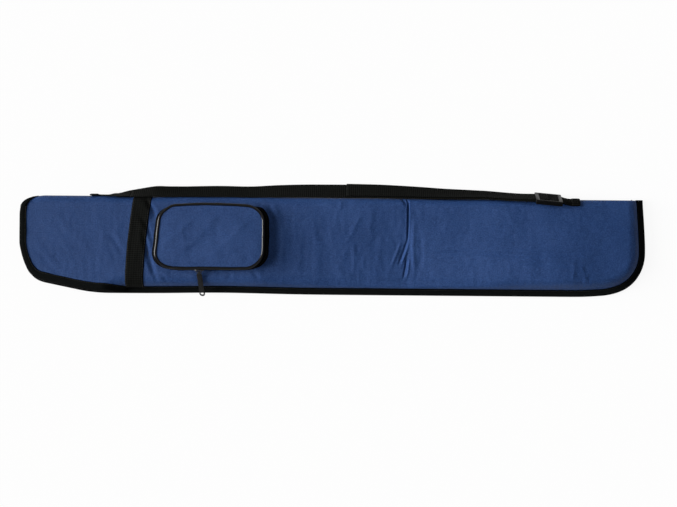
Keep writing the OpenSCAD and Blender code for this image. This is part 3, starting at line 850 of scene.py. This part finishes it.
edge_path = plan_outline(0, 0, 0, 24)
body_start = zip_low_end - 14
body_height, mouth_binding_height = 4.2, 3.2
flap_reach = 3
body_path = resample(
    [Vector((body_start, bound_edge))]
    + [p for p in edge_path if p.x > body_start and p.y < fold_line]
    + [Vector((right_end, fold_edge + 0.7))],
    3.2,
)


def body_binding_z(spot):
    """The binding lies on the floor, and climbs with the flattened end of the fold."""
    past = min(fold_radius, max(0, spot.y - fold_line))
    return 0.1 * (fold_radius - math.sqrt(fold_radius**2 - past**2))


body_edge = swept(
    "body_edge_binding", body_path, tape_section(binding_width, body_height), body_binding_z, 0.5
)
for spot in body_edge.data.vertices:
    spot.co.z *= 0.2 + 0.8 * ease(spot.co.x / MM, body_start, body_start + 11)
dress(body_edge, binding_tape, "case", "black_binding", "body_binding")


def along_edge(path, depth, height):
    """Places along a bound edge, at a depth from it, with heights from a function of the place."""
    spots = [p + inward(path, k) * depth for k, p in enumerate(path)]
    return [Vector((spot.x, spot.y, height(spot))) for spot in spots]


stitch_run("body_edge_stitches", along_edge(body_path, 7.6, lambda p: body_height + 0.1)[4:], "case")
mouth_start = [(left_end + 3.2, fold_line + 7), (left_end + 0.8, fold_line + 3), (left_end, fold_line - 2)]
mouth_path = resample(
    [Vector(p) for p in mouth_start]
    + [p for p in edge_path if p.x < zip_low_end and p.y < fold_line - 20]
    + [Vector((zip_low_end, bound_edge))],
    3.0,
)
mouth_section = tape_section(binding_width, mouth_binding_height)
mouth_edge = swept("mouth_edge_binding", mouth_path, mouth_section, waver=0.5)
dress(mouth_edge, binding_tape, "case", "black_binding", "mouth_binding")
flap_outline = plan_outline(flap_end_in, flap_set_in, 0, 24)
flap_path = resample(
    [Vector((left_end + flap_end_in, fold_line - 1))]
    + [p for p in flap_outline if p.x < zip_low_end + flap_reach and p.y < fold_line - 20]
    + [Vector((zip_low_end + flap_reach, bound_edge + flap_set_in))],
    3.0,
)
flap_path = [Vector((p.x, p.y - flap_set_in * body_share(p.x))) for p in flap_path]
flap_binding_height = 3.4


def flap_binding_z(spot):
    """Under face of the flap's binding, whose upper face lies on the flap's cloth."""
    return front_surface(spot.x, spot.y) + 0.9 - flap_binding_height


flap_edge = swept(
    "flap_edge_binding", flap_path, tape_section(binding_width, flap_binding_height), flap_binding_z, 0.5
)
dress(flap_edge, binding_tape, "mouth_flap", "black_binding", "flap_binding")
stitch_run(
    "flap_edge_stitches", along_edge(flap_path, 8.2, lambda p: front_surface(p.x, p.y) + 1.0), "mouth_flap"
)
stitch_run("mouth_edge_stitches", along_edge(mouth_path, 2.6, lambda p: mouth_binding_height + 0.1), "case")


fold_tape_section = [(12.7, 11), (12.8, 6), (12.8, 1), (12.2, 0.1), (10, 0), (7.8, 0.1), (7.0, 1)]
fold_tape_section += [(6.9, 6), (7.0, 11), (7.4, 11), (7.4, 1.4), (12.1, 1.4), (12.1, 11)]
fold_tape_steps = 24


def fold_end_place(i, j):
    """The tape over the left end of the top fold: outside, over the edge and back inside."""
    share = i / (fold_tape_steps - 1)
    turn = math.radians(-60 + 156 * share)
    radius, depth = fold_tape_section[j % len(fold_tape_section)]
    y = fold_line + radius * math.cos(turn)
    x = left_end + 0.8 + depth * (0.74 + 0.12 * share) + corner_rounding(y)
    return x, y, max(0.05, fold_radius + radius * math.sin(turn))


fold_end = shaped_grid("fold_end_tape", fold_tape_steps, len(fold_tape_section) + 1, fold_end_place)
merge(close_ends(fold_end))
dress(fold_end, binding_tape, "case", "black_binding", "fold_end_binding")

# Webbing band
# A length of 25 mm black webbing laid across the front beside the mouth, sewn down along both edges
# and caught in the seam at the bottom. It leans a little and bows with the padding.
webbing_dark, webbing_light = (0.0012, 0.0013, 0.0012), (0.0110, 0.0116, 0.0106)
webbing_weave = tape_material("ribbed webbing", webbing_dark, webbing_light, 380, 300, 0.6)
band_width = 25
band_left = zip_low_end + 4
band_lean = math.tan(math.radians(5))
band_thickness, band_edge_lift, band_bow = 1.2, 0.35, 2.4
band_last = 15
band_rows = [("skirt", 0.75), ("skirt", 0.35)] + [("roll", math.pi / 2 * (1 - k / 9)) for k in range(9)]
band_rows += [("flat", share) for share in spaced(0, 1, 2.6 / 93)[:-1]]
band_rows += [("fold", math.pi / 2 - math.pi * k / 24) for k in range(15)]


def band_place(i, j):
    x0 = band_left + band_width * i / band_last
    y = front_point(x0, *band_rows[j], 0)[1]
    bow = band_bow * math.sin(math.pi * min(1, max(0, (y - bound_edge) / (fold_edge - bound_edge))))
    x = x0 + (y - bound_edge) * band_lean - bow
    px, py, pz = front_point(x, *band_rows[j], 0)
    nose = min(1, i, band_last - i)
    lift = band_edge_lift + (band_thickness - band_edge_lift) * nose
    zone, value = band_rows[j]
    if zone == "fold":
        return px, py + lift * math.cos(value), pz + lift * math.sin(value)
    if zone == "roll":
        return px, py - lift * math.sin(value), pz + lift * math.cos(value)
    if zone == "skirt":
        return px, py - lift, pz
    return px, py, pz + lift


band = thicken(shaped_grid("front_webbing_band", band_last + 1, len(band_rows), band_place), 0.9)


def turn_uv(piece):
    """Lays the ribs of a tape across its length when its length runs along the grid's other way."""
    for loop in piece.data.uv_layers.active.data:
        loop.uv = (loop.uv.y, loop.uv.x)


turn_uv(band)
dress(band, webbing_weave, "case", "black_webbing", "webbing_band")
for side, column in (("left", 1), ("right", band_last - 1)):
    seam_run = [Vector(band_place(column, j)) + Vector((0, 0, 0.1)) for j in range(2, len(band_rows) - 8)]
    stitch_run("band_" + side + "_stitches", seam_run, "case", "black_webbing", 3.4)

# Mouth zip
# A black coil zip that runs from the top fold round the left end to the band: one woven tape sewn to
# the back's binding, one to the flap's, each with its row of coil, and a slider with a short pull.
zip_dark, zip_light = (0.0010, 0.0010, 0.0010), (0.0040, 0.0040, 0.0038)
zip_weave = tape_material("zip tape", zip_dark, zip_light, 1400, 1400, 0.3)
wall_end_in, wall_in, tape_thickness = 7, 8, 0.8
coil_height, coil_width, coil_gap = 1.4, 2.4, 1.4
coil_pitch, coil_steps, coil_sides = 1.5, 4, 8
wall_foot, wall_bow = 3.0, 0.4
zip_middle = front_z / 2
wall_outline = plan_outline(wall_end_in + 0.4, wall_in + 0.4, 0, 24)
wall_path = resample(
    [Vector((left_end + wall_end_in + 0.4, fold_line - 5))]
    + [p for p in wall_outline if p.x < zip_low_end - 4 and p.y < fold_line - 20]
    + [Vector((zip_low_end - 4, bound_edge + wall_in + 0.4))],
    2.5,
)


def closed_up(z, p):
    """A height in the zip's wall, which closes up where the flap's edge comes down."""
    return wall_foot + (z - wall_foot) * (1 - 0.7 * body_share(p.x))


def zip_wall(name, z0, z1):
    """One woven tape, standing between its binding and its row of coil, a little bowed."""
    rows = 7

    def place(i, j):
        p = wall_path[i]
        side = inward(wall_path, i)
        share = j / (rows - 1)
        out = wall_bow * math.sin(math.pi * share) + 0.15 * noise.noise(Vector((p.x / 9, p.y / 9, share)))
        spot = p + side * (out - tape_thickness / 2)
        return spot.x, spot.y, closed_up(z0 + (z1 - z0) * share, p)

    return thicken(shaped_grid(name, len(wall_path), rows, place), tape_thickness * 0.8)


mouth_tape = zip_wall("mouth_zip_back_tape", wall_foot, zip_middle - coil_gap / 2 - 0.6)
dress(mouth_tape, zip_weave, "case", "zip_tape", "mouth_zip_tape")
flap_tape = zip_wall("mouth_zip_flap_tape", zip_middle + coil_gap / 2 + 0.6, front_z - wall_foot)
dress(flap_tape, zip_weave, "mouth_flap", "zip_tape", "flap_zip_tape")
coil_nylon = moulded_material("nylon coil", (0.003, 0.003, 0.003), 0.36, 0.0, 1500, 0.2)
enamel_metal = moulded_material("gunmetal", (0.03, 0.03, 0.031), 0.34, 0.1, 700, 0.15)
enamel_metal.node_tree.nodes["Principled BSDF"].inputs["Metallic"].default_value = 0.85


def coil_row(name, path, z, turned, squeezed=False):
    """A row of nylon coil: a bead that swells at each tooth and leans towards the other row."""
    spots = resample(path, coil_pitch / coil_steps)

    def place(i, j):
        p = spots[i]
        angle = 2 * math.pi * (j % coil_sides) / coil_sides
        tooth = math.cos(2 * math.pi * i / coil_steps)
        bead = 0.86 + 0.14 * tooth
        spot = p + inward(spots, i) * (coil_width / 2 * bead * math.cos(angle))
        height = z + coil_height / 2 * bead * math.sin(angle) + 0.55 * max(0, tooth) * turned
        return spot.x, spot.y, closed_up(height, p) if squeezed else height

    return merge(close_ends(shaped_grid(name, len(spots), coil_sides + 1, place)))


mouth_coil = coil_row("mouth_zip_back_coil", wall_path, zip_middle - coil_gap / 2 - coil_height / 2, 1, True)
dress(mouth_coil, coil_nylon, "case", "zip_coil", "mouth_zip_coil")
flap_coil = coil_row("mouth_zip_flap_coil", wall_path, zip_middle + coil_gap / 2 + coil_height / 2, -1, True)
dress(flap_coil, coil_nylon, "mouth_flap", "zip_coil", "flap_zip_coil")


def finished_copy(node, name, rounding, material, body, slot):
    """A rigid piece with its edges rounded as a casting's or a moulding's are."""
    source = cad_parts[node]
    piece = bpy.data.objects.new(name, source.data.copy())
    bpy.context.collection.objects.link(piece)
    take_up(piece)
    bpy.ops.object.mode_set(mode="EDIT")
    bpy.ops.mesh.select_all(action="SELECT")
    bpy.ops.mesh.remove_doubles(threshold=0.000002)
    bpy.ops.mesh.dissolve_limited(angle_limit=math.radians(1))
    bpy.ops.object.mode_set(mode="OBJECT")
    edge = piece.modifiers.new("rounding", "BEVEL")
    edge.width = rounding * MM
    edge.segments = 3
    edge.limit_method = "ANGLE"
    edge.angle_limit = math.radians(40)
    edge.use_clamp_overlap = True
    apply_modifiers(piece)
    bpy.ops.object.shade_smooth_by_angle(angle=math.radians(35))
    return dress(piece, material, body, slot, node, soft=False)


zip_stops = finished_copy("mouth_zip_stops", "mouth_zip_end_stops", 0.25, enamel_metal, "case", "zip_metal")
for spot in zip_stops.data.vertices:
    spot.co.z = closed_up(spot.co.z / MM, spot.co / MM) * MM
finished_copy("mouth_zip_slider", "mouth_slider_body", 0.3, enamel_metal, "mouth_slider", "zip_metal")
finished_copy("mouth_zip_pull", "mouth_pull_tab", 0.25, enamel_metal, "mouth_pull", "zip_metal")

# Pocket
# A patch pocket with a zipped lid: a black tape sewn flat to the front and turned up as a low wall, a
# coil zip round three sides, and a navy lid edged with glossy vinyl piping and hinged at the top.
pipe_low, pipe_high = span("lid_piping")
pipe_radius = (pipe_high.z - pipe_low.z) / 2
pipe_z = (pipe_low.z + pipe_high.z) / 2
lid_left, lid_right = pipe_low.x + pipe_radius, pipe_high.x - pipe_radius
lid_low, lid_high = pipe_low.y + pipe_radius, pipe_high.y - pipe_radius
lid_middle = (lid_left + lid_right) / 2
lid_radius = 22
left_lean, top_rise, top_droop, left_corner_lift = 0.1, 1.2, 1.9, 2.5
right_corner_in, right_corner_lift, right_corner_reach = 1.5, 1.4, 17


def slump(x, y):
    """Where a point of the pocket's drawn outline lies once sewn: the soft pocket loses its squareness."""
    left = 1 - ease(x, lid_left, lid_left + 66)
    above = max(0, (y - 12) / 42) ** 2
    below = max(0, (12 - y) / 43) ** 2
    dx = left_lean * left * (y - 14.5)
    dy = above * (top_rise - top_droop * ((x - lid_middle) / 50) ** 2)
    dy += left_corner_lift * below * (1 - ease(x, lid_left + 4, lid_left + 31))
    corner = hump(x, lid_right - 5, right_corner_reach) * hump(y, lid_low + 5, right_corner_reach)
    return Vector((x + dx - right_corner_in * corner, y + dy + right_corner_lift * corner))


def lid_path(grow, step, steps=16):
    """The lid's outline, grown by a distance: a rounded rectangle, closed, anticlockwise from the top."""
    points = []
    radius = lid_radius + grow
    for cx, cy, start in (
        (lid_left + lid_radius, lid_high - lid_radius, 90),
        (lid_left + lid_radius, lid_low + lid_radius, 180),
        (lid_right - lid_radius, lid_low + lid_radius, 270),
        (lid_right - lid_radius, lid_high - lid_radius, 0),
    ):
        for k in range(steps + 1):
            turn = math.radians(start + 90 * k / steps)
            points.append(Vector((cx + radius * math.cos(turn), cy + radius * math.sin(turn))))
    middle = Vector((lid_middle, lid_high + grow))
    return resample([slump(p.x, p.y) for p in resample([middle] + points + [middle], 1)], step)


base_ring = lid_path(0, 2.2)
flange_z = span("pocket_base_tape")[0].z
wall_top = span("pocket_base_tape")[1].z - flange_z + 0.3
base_section = [(-7.6, 0.9), (-7.9, 0.3), (-7.4, 0.0), (0.6, 0.0), (0.6, 3.0), (0.5, wall_top)]
base_section += [(-0.5, wall_top), (-1.0, 3.2), (-2.2, 1.6), (-4.2, 1.0)]


def flange_share(p):
    """The sewn tape shows its full width at the pocket's right, and little along its top and bottom."""
    sides = 0.3 + 0.35 * ease(lid_middle - p.x, 55, 71) + 0.65 * ease(p.x - lid_middle, 52, 71)
    return sides * (1 - ease(p.y, lid_high - 8, lid_high))


def ring_sweep(name, path, section, place_z, waver=0.0, widen=None):
    """A closed section swept round a closed path, with no ends."""
    closed = path[:-1]
    count = len(closed)

    def place(i, j):
        k = i % count
        way = closed[(k + 1) % count] - closed[k - 1]
        side = Vector((-way.y, way.x)).normalized()
        depth, z = section[j % len(section)]
        p = closed[k]
        if widen and depth < -1.5:
            depth = -1.5 + (depth + 1.5) * widen(p)
        wave = waver * noise.noise(Vector((p.x / 13, p.y / 13, depth / 9 + z / 9)))
        spot = p + side * (depth + wave)
        return spot.x, spot.y, place_z(spot, depth) + z + 0.4 * wave

    return merge(shaped_grid(name, count + 1, len(section) + 1, place))


def on_front(spot, depth):
    """Height of the front under the pocket, which falls away a little past the fold line."""
    past = max(0, spot.y - fold_line)
    return flange_z + 0.1 - (fold_radius - math.sqrt(max(0, fold_radius**2 - past**2))) * (depth < -1)


pocket_tape = ring_sweep("pocket_base", base_ring, base_section, on_front, 0.7, flange_share)
dress(pocket_tape, zip_weave, "case", "zip_tape", "pocket_base_tape")
hinge_low, hinge_high = span("pocket_hinge_strip")
zip_end_y = lid_high - 5
half_way = len(base_ring) // 2
hinge_run = [p for p in base_ring[half_way:] + base_ring[1:half_way] if p.y > zip_end_y]


def hinge_place(i, j):
    p = hinge_run[i]
    share = j / 6
    from_end = min(i, len(hinge_run) - 1 - i)
    bow = 0.2 + 1.4 * (1 - min(1, from_end / 6)) + 0.3 * math.sin(math.pi * share)
    bow += 0.1 * noise.noise(Vector((p.x / 8, share, 2)))
    spot = p - inward(hinge_run, i) * bow
    height = (hinge_high.z + 0.6 - hinge_low.z) * (0.35 + 0.65 * min(1, from_end / 4))
    return spot.x, spot.y, hinge_low.z + height * (1 - share)


hinge_cloth = thicken(shaped_grid("pocket_hinge_cloth", len(hinge_run), 7, hinge_place), 0.7)
dress(hinge_cloth, zip_weave, "case", "zip_tape", "pocket_hinge_strip")
zip_run = [p for p in base_ring if p.y < zip_end_y + 2.5]


def flange_stitch(p, side):
    spot = p - side * (1.5 + 3.5 * flange_share(p))
    return spot.to_3d() + Vector((0, 0, on_front(spot, -5) + 1.1))


flange_seam = [flange_stitch(p, inward(base_ring, k)) for k, p in enumerate(base_ring) if p.y < lid_high - 6]
stitch_run("pocket_base_stitches", flange_seam, "case", "zip_tape")
pocket_middle = (span("pocket_zip_slider")[0].z + span("pocket_zip_slider")[1].z) / 2
pocket_coil = coil_row("pocket_base_coil", zip_run, pocket_middle - coil_gap / 2 - coil_height / 2, 1)
dress(pocket_coil, coil_nylon, "case", "zip_coil", "pocket_zip_coil")
lid_coil = coil_row("pocket_lid_coil", zip_run, pocket_middle + coil_gap / 2 + coil_height / 2, -1)
dress(lid_coil, coil_nylon, "pocket_cover", "zip_coil", "lid_zip_coil")
lid_tape_z = pocket_middle + coil_gap / 2 + coil_height
tape_run = resample(zip_run, 2.2)
lid_tape = swept(
    "pocket_lid_tape",
    tape_run,
    [(0.4, 0), (0.4, pipe_low.z - lid_tape_z + 0.4), (-0.4, pipe_low.z - lid_tape_z + 0.4), (-0.4, 0)],
    lambda p: lid_tape_z,
)
dress(lid_tape, zip_weave, "pocket_cover", "zip_tape", "lid_zip_tape")
piping_vinyl = moulded_material("glossy vinyl", (0.0008, 0.0008, 0.0010), 0.12, 0.0, 120, 0.0, 0.3)
pipe_ring = lid_path(0, 1.8)
pipe_turns = [2 * math.pi * k / 12 for k in range(12)]
pipe_section = [(-pipe_radius * math.cos(turn), -pipe_radius * math.sin(turn)) for turn in pipe_turns]
piping = ring_sweep("pocket_lid_piping", pipe_ring, pipe_section, lambda spot, depth: pipe_z, 0.35)
dress(piping, piping_vinyl, "pocket_cover", "piping_plastic", "lid_piping")
lid_inset = pipe_radius - 0.7


def lid_edge(x):
    """Lower and upper Y of the lid's cloth at an X, with its rounded corners."""
    radius = lid_radius - lid_inset
    reach = max(0, lid_left + lid_radius - x, x - lid_right + lid_radius)
    cut = radius - math.sqrt(max(0, radius**2 - min(reach, radius) ** 2))
    return lid_low + lid_inset + cut, lid_high - lid_inset - cut


lid_crease_share = 0.7
lid_creases = [
    ([(-232, -4), (-208, 18), (-186, 40)], -0.9, 4.0),
    ([(-215, -18), (-180, 12), (-152, 44)], -0.8, 4.6),
    ([(-196, -24), (-200, 4), (-206, 30)], -0.7, 3.6),
    ([(-168, -20), (-140, 8), (-116, 34)], -0.8, 4.4),
    ([(-150, -24), (-132, -8), (-110, 4)], 0.6, 4.0),
    ([(-230, 30), (-222, 42)], 0.9, 2.6),
    ([(-112, -14), (-120, -22)], 0.8, 2.6),
]


def lid_place(xs, rows, i, j):
    x = xs[i]
    low, high = lid_edge(x)
    y = low + (high - low) * rows[j]
    u = (x - lid_left) / (lid_right - lid_left) * 2 - 1
    v = (y - lid_low) / (lid_high - lid_low) * 2 - 1
    crown = (max(0, 1 - u**4) * max(0, 1 - v**4)) ** 0.6
    z = pipe_z + 0.2 + 1.5 * crown
    z += 0.9 * crown * noise.noise(Vector((x / 28, y / 24, 7)))
    z += 0.2 * crown * noise.noise(Vector((x / 8, y / 11, 2)))
    for path, depth, width in lid_creases:
        gap, share = path_distance(x, y, path)
        fade = min(1, 5 * share, 5 * (1 - share)) * 0.9 + 0.1
        z -= lid_crease_share * crown * fade * depth * hump(gap, 0, width)
    spot = slump(x, y)
    return spot.x, spot.y, z


lid_xs = end_spaced(lid_left + lid_inset, lid_right - lid_inset, 2.2, lid_radius - lid_inset)
lid_rows = [0.5 - 0.5 * math.cos(math.pi * k / 46) for k in range(47)]
lid_cloth = shaped_grid(
    "pocket_lid_cloth", len(lid_xs), len(lid_rows), lambda i, j: lid_place(lid_xs, lid_rows, i, j)
)
thicken(lid_cloth, 1.2)
dress(lid_cloth, navy_cloth, "pocket_cover", "navy_cloth", "pocket_lid")
pocket_slider = finished_copy(
    "pocket_zip_slider", "pocket_slider_body", 0.3, enamel_metal, "pocket_slider", "zip_metal"
)
slider_middle = (span("pocket_zip_slider")[0].x + span("pocket_zip_slider")[1].x) / 2
slider_stretch = 1.25
for spot in pocket_slider.data.vertices:
    spot.co.x = (slider_middle + slider_stretch * (spot.co.x / MM - slider_middle)) * MM
pocket_pull = finished_copy(
    "pocket_zip_pull", "pocket_pull_tab", 0.3, enamel_metal, "pocket_pull", "zip_metal"
)
pull_low, pull_high = span("pocket_zip_pull")
pull_middle = (pull_low.x + pull_high.x) / 2
ring_hole, ring_hole_growth, ring_growth = 2.6, 1.35, 1.2
pull_drawn, pull_askew = 4.5, 0.15
pull_slope = (pull_high.z - pull_low.z) / (pull_high.y - pull_low.y)
ring_centre = pull_low.y + 3.1
for spot in pocket_pull.data.vertices:
    x = spot.co.x / MM - pull_middle
    y = spot.co.y / MM - ring_centre
    if math.hypot(x, y) < ring_hole:
        x, y = ring_hole_growth * x, ring_hole_growth * y
    elif y < 2.5:
        x, y = ring_growth * x, ring_growth * y
    drawn = pull_drawn * (1 - ease(y, 3, 9))
    askew = pull_askew * max(0, pull_high.y - ring_centre - y - 6)
    spot.co.x = (x + askew + pull_middle) * MM
    spot.co.y = (y + ring_centre - drawn) * MM
    spot.co.z -= drawn * pull_slope * MM

# Shoulder strap
# A length of black webbing sewn to the fold under a tab at each end. It stands steep at both ends, leans
# against the fold between them and sags past the pocket. An adjuster holds its doubled tail at the right.
strap_low, strap_high = span("shoulder_strap")
tail_low, tail_high = span("strap_tail")
strap_width, strap_thickness = 25, 1.2
rest_tilt, stand_tilt, lean_tilt = math.radians(43), math.radians(80), math.radians(68)
rest_gap, stand_gap, lean_gap, band_gap = 0.1, 0.3, 2.1, 1.2
stand_lift, lean_lift = 1.4, 8
tail_lift = 0.35
tail_width, tail_shift = 22, 1.5
drawn_in, drawn_in_x, drawn_in_reach = 0.9, -110, 26
slack_tilt, slack_draw, slack_bow = math.radians(4.5), 0.075, 3.0


def strap_slack(x):
    """Where the strap sags across its width, from its left end to past the pocket."""
    return ease(x, strap_low.x + 70, strap_low.x + 120) * (1 - ease(x, strap_low.x + 170, strap_low.x + 300))


def strap_frame(x):
    """Centre and lean of the strap at one place: lower edge by the floor, upper edge against the fold."""
    left = min(1, max(0, 1 - (x - strap_low.x - 25) / 234)) ** 5
    slack = strap_slack(x)
    right = ease(x, strap_high.x - 300, strap_high.x - 59)
    tilt = rest_tilt + (stand_tilt - rest_tilt) * left + (lean_tilt - rest_tilt) * right + slack_tilt * slack
    width = strap_width * (1 - slack_draw * slack)
    reach = fold_radius + strap_thickness / 2 + rest_gap
    reach += (stand_gap - rest_gap) * left + (lean_gap - rest_gap) * right
    reach -= drawn_in * hump(x, drawn_in_x, drawn_in_reach)
    reach += band_gap * ease(x, band_left - 12, band_left + 4) * (1 - ease(x, band_left + 36, band_left + 60))
    lift = stand_lift * left + lean_lift * ease(x, strap_high.x - 120, strap_high.x - 59)
    foot = 0.1 + lift + strap_thickness / 2 * math.cos(tilt)
    top = foot + width * math.sin(tilt)
    if top < fold_radius + reach * math.cos(tilt):
        y = math.sqrt(reach**2 - (top - fold_radius) ** 2)
    else:
        y = (reach - math.cos(tilt) * (top - fold_radius)) / math.sin(tilt)
    centre_y = fold_line + y + width / 2 * math.cos(tilt)
    return centre_y, foot + width / 2 * math.sin(tilt), tilt


def on_fold(x, turn, off):
    """A place over the fold's cloth, at a turn round the fold and a distance off the cloth."""
    px, py, pz = front_point(x, "fold", math.radians(turn), 0)
    return px, py + off * math.cos(math.radians(turn)), pz + off * math.sin(math.radians(turn))


def strap_sheet(name, x0, x1, width, shift, lift):
    """Webbing that bows a little across its width, wavers along its length and lies down at its sewn ends."""
    xs = spaced(x0, x1, 2.8)
    rows = 13

    def place(i, j):
        x = xs[i]
        y, z, tilt = strap_frame(x)
        share = j / (rows - 1) - 0.5
        gather = 1 - 0.3 * (1 - ease(x, strap_low.x, strap_low.x + 25))
        gather -= 0.4 * ease(x, strap_high.x - 15, strap_high.x)
        slack = strap_slack(x)
        across = (shift + width * share) * gather * (1 - slack_draw * slack)
        edge = min(1, j, rows - 1 - j)
        free = ease(x, strap_low.x, strap_low.x + 40) * (1 - ease(x, strap_high.x - 110, strap_high.x - 70))
        up = lift + strap_thickness * (0.32 + 0.18 * edge)
        up -= (free + slack_bow * slack) * (1 - 4 * share**2)
        up += 0.3 * free * noise.noise(Vector((x / 40, across / 25, 4)))
        py = y + across * math.cos(tilt) + up * math.sin(tilt)
        pz = z - across * math.sin(tilt) + up * math.cos(tilt)
        loose = Vector((x, py, max(pz, 1.0 if lift == 0 else 2.0)))
        sewn_left = Vector(on_fold(x, -12 - 60 * share, 1.0))
        sewn_right = Vector(on_fold(x, 47 - 58 * share, 1.0))
        spot = loose.lerp(sewn_left, 1 - ease(x, strap_low.x, strap_low.x + 22))
        return spot.lerp(sewn_right, ease(x, strap_high.x - 24, strap_high.x))

    piece = shaped_grid(name, len(xs), rows, lambda i, j: place(i, rows - 1 - j))
    return thicken(piece, strap_thickness * 0.8)


def sewn_end(name, x0, x1, fixed, free):
    """An end of the strap, from where it is sewn to where its free length begins, finished and baked in
    place.
    """
    piece = strap_sheet(name, x0, x1, strap_width, 0, 0)
    clothe(piece, webbing_weave, "black_webbing")
    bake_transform(piece)
    return piece


left_turn_end, right_turn_start = strap_low.x + 44, strap_high.x - 13
strap = strap_sheet("strap_webbing", left_turn_end, right_turn_start, strap_width, 0, 0)
dress(strap, webbing_weave, "strap", "black_webbing", "shoulder_strap")
strap_left = sewn_end("strap_left_end", strap_low.x - 8, left_turn_end, strap_low.x, left_turn_end)
strap_right = sewn_end("strap_right_end", right_turn_start, strap_high.x + 8, strap_high.x, right_turn_start)
tail_over = strap_thickness + tail_lift
tail = strap_sheet("strap_tail_webbing", tail_low.x, tail_high.x, tail_width, tail_shift, tail_over)
dress(tail, webbing_weave, "strap", "black_webbing", "strap_tail")
adjuster_plastic = moulded_material("moulded plastic", (0.0010, 0.0010, 0.0012), 0.3, 0.0, 420, 0.06, 0.12)
tri_glide = finished_copy(
    "strap_adjuster", "strap_tri_glide", 0.7, adjuster_plastic, "adjuster", "adjuster_plastic"
)
glide_middle = (span("strap_adjuster")[0] + span("strap_adjuster")[1]) / 2
glide_settled = glide_middle + Vector((0, -1.2, -0.8))
lean_with_strap = Matrix.Rotation(math.radians(-5), 3, "Z")
for spot in tri_glide.data.vertices:
    spot.co = (glide_settled + lean_with_strap @ (spot.co / MM - glide_middle)) * MM


def strap_tab(node, name, from_turn, to_turn):
    """A short end of webbing sewn over the strap's end on the fold."""
    low, high = span(node)
    turns = 18

    def place(i, j):
        turn = from_turn + (to_turn - from_turn) * j / (turns - 1)
        edge = min(1, i, 7 - i, j, turns - 1 - j)
        return on_fold(low.x + (high.x - low.x) * i / 7, turn, 1.4 + 0.5 * edge)

    piece = thicken(shaped_grid(name, 8, turns, place), 1.1, 0.1)
    turn_uv(piece)
    dress(piece, webbing_weave, "case", "black_webbing", node)
    for side, column in (("left", 1.6), ("right", 5.4)):
        spots = [Vector(place(column, j)) for j in range(1, turns - 1)]
        stitch_run(name + "_" + side + "_stitches", spots, "case", "black_webbing", 2.6)
    return piece


left_tab = strap_tab("left_strap_tab", "left_sewn_tab", -58, 24)
right_tab = strap_tab("right_strap_tab", "right_sewn_tab", 20, 74)

# Floor, light and camera
# A plain white floor that looks evenly lit, a soft light low from the left and a weak one from the top.
# The camera looks straight down, turned by half a degree as the case lies in the photograph.
bpy.ops.object.select_all(action="DESELECT")
bpy.ops.mesh.primitive_plane_add(size=30, location=(0, 0, -0.0002))
floor = bpy.context.object
floor.name = "floor"
white = bpy.data.materials.new("white sweep")
white.use_nodes = True
floor_tree = white.node_tree
floor_nodes, floor_links = floor_tree.nodes, floor_tree.links
floor_shader = floor_nodes["Principled BSDF"]
floor_shader.inputs["Base Color"].default_value = (0.85, 0.85, 0.85, 1)
floor_shader.inputs["Roughness"].default_value = 0.8
floor_glow = floor_nodes.new("ShaderNodeEmission")
floor_glow.inputs["Color"].default_value = (1, 1, 1, 1)
floor_mix = floor_nodes.new("ShaderNodeMixShader")
floor_rays = floor_nodes.new("ShaderNodeLightPath")
seen = floor_rays.outputs["Is Camera Ray"]
for ray in ("Is Glossy Ray", "Is Transmission Ray"):
    seen = math_node(floor_tree, "MAXIMUM", seen, floor_rays.outputs[ray])
seen = math_node(floor_tree, "MULTIPLY", seen, 0.9)
floor_links.new(seen, floor_mix.inputs[0])
floor_links.new(floor_shader.outputs[0], floor_mix.inputs[1])
floor_links.new(floor_glow.outputs[0], floor_mix.inputs[2])
floor_links.new(floor_mix.outputs[0], floor_nodes["Material Output"].inputs["Surface"])
floor.data.materials.append(white)

world = bpy.data.worlds.new("studio")
bpy.context.scene.world = world
world.use_nodes = True
world.node_tree.nodes["Background"].inputs["Color"].default_value = (1, 1, 1, 1)
world.node_tree.nodes["Background"].inputs["Strength"].default_value = 0.16


def distant_light(name, way, power, spread):
    bpy.ops.object.light_add(type="SUN", location=way)
    light = bpy.context.object
    light.name = name
    light.data.energy = power
    light.data.angle = math.radians(spread)
    light.rotation_euler = Vector(way).to_track_quat("Z", "Y").to_euler()


distant_light("left light", (-2.3, 0.15, 1.0), 5.8, 34)
distant_light("top light", (0.3, 0.3, 2.0), 0.35, 60)

image_width = 677
frame_width = 0.913
camera_height = 1.9
case_pixel = (333.5, 246.5)
image_middle = (338.5, 253.5)
pixel = frame_width / image_width
camera_data = bpy.data.cameras.new("camera")
camera = bpy.data.objects.new("camera", camera_data)
bpy.context.collection.objects.link(camera)
camera_data.sensor_width = 36
camera_data.lens = camera_data.sensor_width * camera_height / frame_width
camera.location = (
    (image_middle[0] - case_pixel[0]) * pixel,
    (case_pixel[1] - image_middle[1]) * pixel,
    camera_height + front_z * MM,
)
camera.rotation_euler = (0, 0, math.radians(0.5))
bpy.context.scene.camera = camera
bpy.context.scene.view_settings.view_transform = "Standard"
